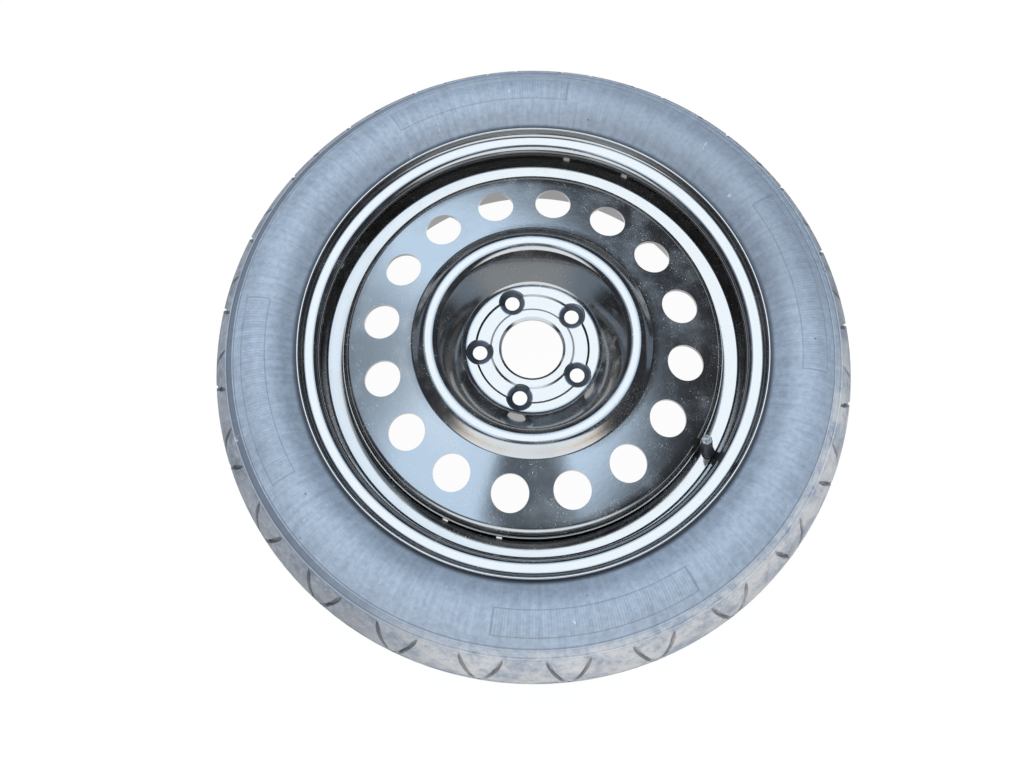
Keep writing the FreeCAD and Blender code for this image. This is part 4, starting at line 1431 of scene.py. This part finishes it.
@dataclass
class Stage:
    """Floor, sky-like studio light and the camera.

    Attributes:
        eye: the camera's place.
        tilt: angle of the camera's axis below the horizon before its small turns, in radians.
        roll, yaw, pitch: small turns of the camera, in radians.
        focal, picture: focal length and width of the picture, in pixels.
        sensor, clip: width of the camera's sensor, and the nearest distance that it sees in metres.
        floor_height, floor_reach: height of the floor, and half of its width in metres.
        floor_grey, floor_white: brightness of the floor, and the share that the camera sees as white.
        zenith, sky_blue: colours of the top light's middle and edge.
        horizon, walls: colours of the front light's lower edge and of the rest.
        lean, top_edge, core_edge: direction of the top light, and the edges of it and of its bright core.
        gap, gap_edge, gap_dim: direction, edge and dimming of a gap in the top light.
        side_edge, side_dim: where the top light's two sides begin, and their dimming.
        front_edge, front_height, front_share: edges of the front light, and the share of its colour.
        glow_height: heights between which the front light's colour changes.
        wall_level, top_level, core_level, front_level: strengths of the walls, and what the lights add.
    """

    eye: tuple[float, float, float] = (0.0, -283.27, 899.37)
    tilt: float = 1.24913476
    roll: float = 0.0340216
    yaw: float = 0.0213823
    pitch: float = 0.0482805
    focal: float = 887.51
    picture: float = 1024.0
    sensor: float = 36.0
    clip: float = 0.01
    floor_height: float = -77.7
    floor_reach: float = 6.0
    floor_grey: float = 0.86
    floor_white: float = 0.97
    zenith: Colour = (0.86, 0.94, 1.0)
    sky_blue: Colour = (0.62, 0.80, 1.0)
    horizon: Colour = (1.0, 0.74, 0.46)
    walls: Colour = (0.055, 0.060, 0.075)
    lean: tuple[float, float, float] = (-0.12, 0.26, 0.958)
    top_edge: Point = (0.72, 0.80)
    core_edge: Point = (0.86, 0.95)
    gap: tuple[float, float, float] = (0.01, -0.333, 0.943)
    gap_edge: Point = (0.978, 0.995)
    gap_dim: float = 0.75
    side_edge: Point = (0.2, 0.4)
    side_dim: float = 0.5
    front_edge: Point = (0.45, 0.7)
    front_height: Point = (0.22, 0.34)
    front_share: float = 0.8
    glow_height: Point = (0.26, 0.38)
    wall_level: float = 1.0
    top_level: float = 2.5
    core_level: float = 0.9
    front_level: float = 3.2

    def camera(self) -> None:
        """Place the camera at the photograph's viewing angle."""
        c = math.cos(self.tilt)
        s = math.sin(self.tilt)
        base = Matrix(((1, 0, 0), (0, -s, -c), (0, c, -s)))
        turn = (
            Matrix.Rotation(self.roll, 3, "Z")
            @ Matrix.Rotation(self.pitch, 3, "X")
            @ Matrix.Rotation(self.yaw, 3, "Y")
        )
        right, down, ahead = turn @ base
        lens = bpy.data.cameras.new("camera")
        lens.sensor_width = self.sensor
        lens.lens = self.focal / self.picture * self.sensor
        lens.clip_start = self.clip
        eye = bpy.data.objects.new("camera", lens)
        axes = Matrix((right, -down, -ahead)).transposed()
        eye.matrix_world = Matrix.Translation(Vector(self.eye) * MM) @ axes.to_4x4()
        bpy.context.scene.collection.objects.link(eye)
        bpy.context.scene.camera = eye

    def floor(self) -> None:
        """Lay a one-sided pale floor that the camera and mirrors see as white, with a faint shadow."""
        s = Shader.named("pale_floor")
        seen = s.rays("Camera", "Glossy", "Transmission")
        grey = self.floor_grey
        matt = s.node("BsdfDiffuse", {}, {"Color": (grey, grey, grey, 1.0)})
        white = s.node("Emission", {}, {"Color": (1.0, 1.0, 1.0, 1.0), "Strength": 1.0})
        upper = s.node("MixShader", {}, {0: seen * self.floor_white, 1: matt, 2: white})
        below = s.node("NewGeometry", {}, {}, "Backfacing")
        clear = s.node("BsdfTransparent", {}, {})
        material = s.end(s.node("MixShader", {}, {0: below, 1: upper, 2: clear}))
        z = self.floor_height * MM
        loop = ((-1, -1), (1, -1), (1, 1), (-1, 1))
        corners = np.array([(x * self.floor_reach, y * self.floor_reach, z) for x, y in loop])
        floor = new_object("floor", corners, [(0, 1, 2, 3)])
        floor.data.materials.append(material)

    def sky(self) -> None:
        """Light the scene with a broad soft top light over dim walls, behind a white backdrop."""
        world = bpy.data.worlds.new("studio")
        bpy.context.scene.world = world
        s = Shader(world)
        x, y, height = s.axes(s.node("TexCoord", {}, {}, "Generated"))
        middle = x * self.lean[0] + y * self.lean[1] + height * self.lean[2]
        toward_gap = x * self.gap[0] + y * self.gap[1] + height * self.gap[2]
        core = middle.step(*self.core_edge)
        gap = 1 - toward_gap.step(*self.gap_edge) * self.gap_dim
        sides = 1 - (x * x).step(*self.side_edge) * self.side_dim
        top = middle.step(*self.top_edge) * gap * sides
        front = (0.0 - y).step(*self.front_edge) * height.step(*self.front_height)
        glow = s.mix(height.step(*self.glow_height), self.horizon, self.zenith)
        roof = s.mix(core, self.sky_blue, self.zenith)
        colour = s.mix(top, s.mix(front * self.front_share, self.walls, glow), roof)
        level = self.wall_level + top * self.top_level + core * self.core_level + front * self.front_level
        light = s.node("Background", {}, {"Color": colour, "Strength": level})
        white = s.node("Background", {}, {"Color": (1.0, 1.0, 1.0, 1.0), "Strength": 1.0})
        s.end(s.node("MixShader", {}, {0: s.rays("Camera"), 1: light, 2: white}))

    def build(self) -> None:
        """Set the stage."""
        bpy.context.scene.view_settings.view_transform = "Standard"
        self.camera()
        self.floor()
        self.sky()


def main() -> None:
    """Build every piece in order and report it."""
    logging.basicConfig(level=logging.INFO, format="%(message)s")
    paint = GlossPaint().build()
    weld = GlossPaint("painted_weld", gloss=0.3, grime=0.6).build()
    valve_rubber = Moulding("valve_rubber_finish", (0.048, 0.048, 0.052)).build()
    plastic = Moulding("cap_plastic_finish", (0.060, 0.060, 0.065), amount=0.75, gloss=0.5).build()
    seal = Moulding("seal_rubber_finish", (0.02, 0.02, 0.02), amount=0.05).build()
    brass = BareMetal("turned_brass", (0.62, 0.45, 0.2)).build()
    steel = BareMetal("spring_wire", (0.5, 0.5, 0.5)).build()
    valve = Valve()
    Stage().build()
    Rim().build(valve, paint)
    Disc().build(paint)
    Tyre().build(TyreRubber().build())
    valve.build(valve_rubber, plastic, steel)
    solids = Solids()
    solids.finish(solids.brass, brass)
    solids.finish(solids.seals, seal)
    solids.finish(solids.welds, weld)


if __name__ == "__main__":
    main()
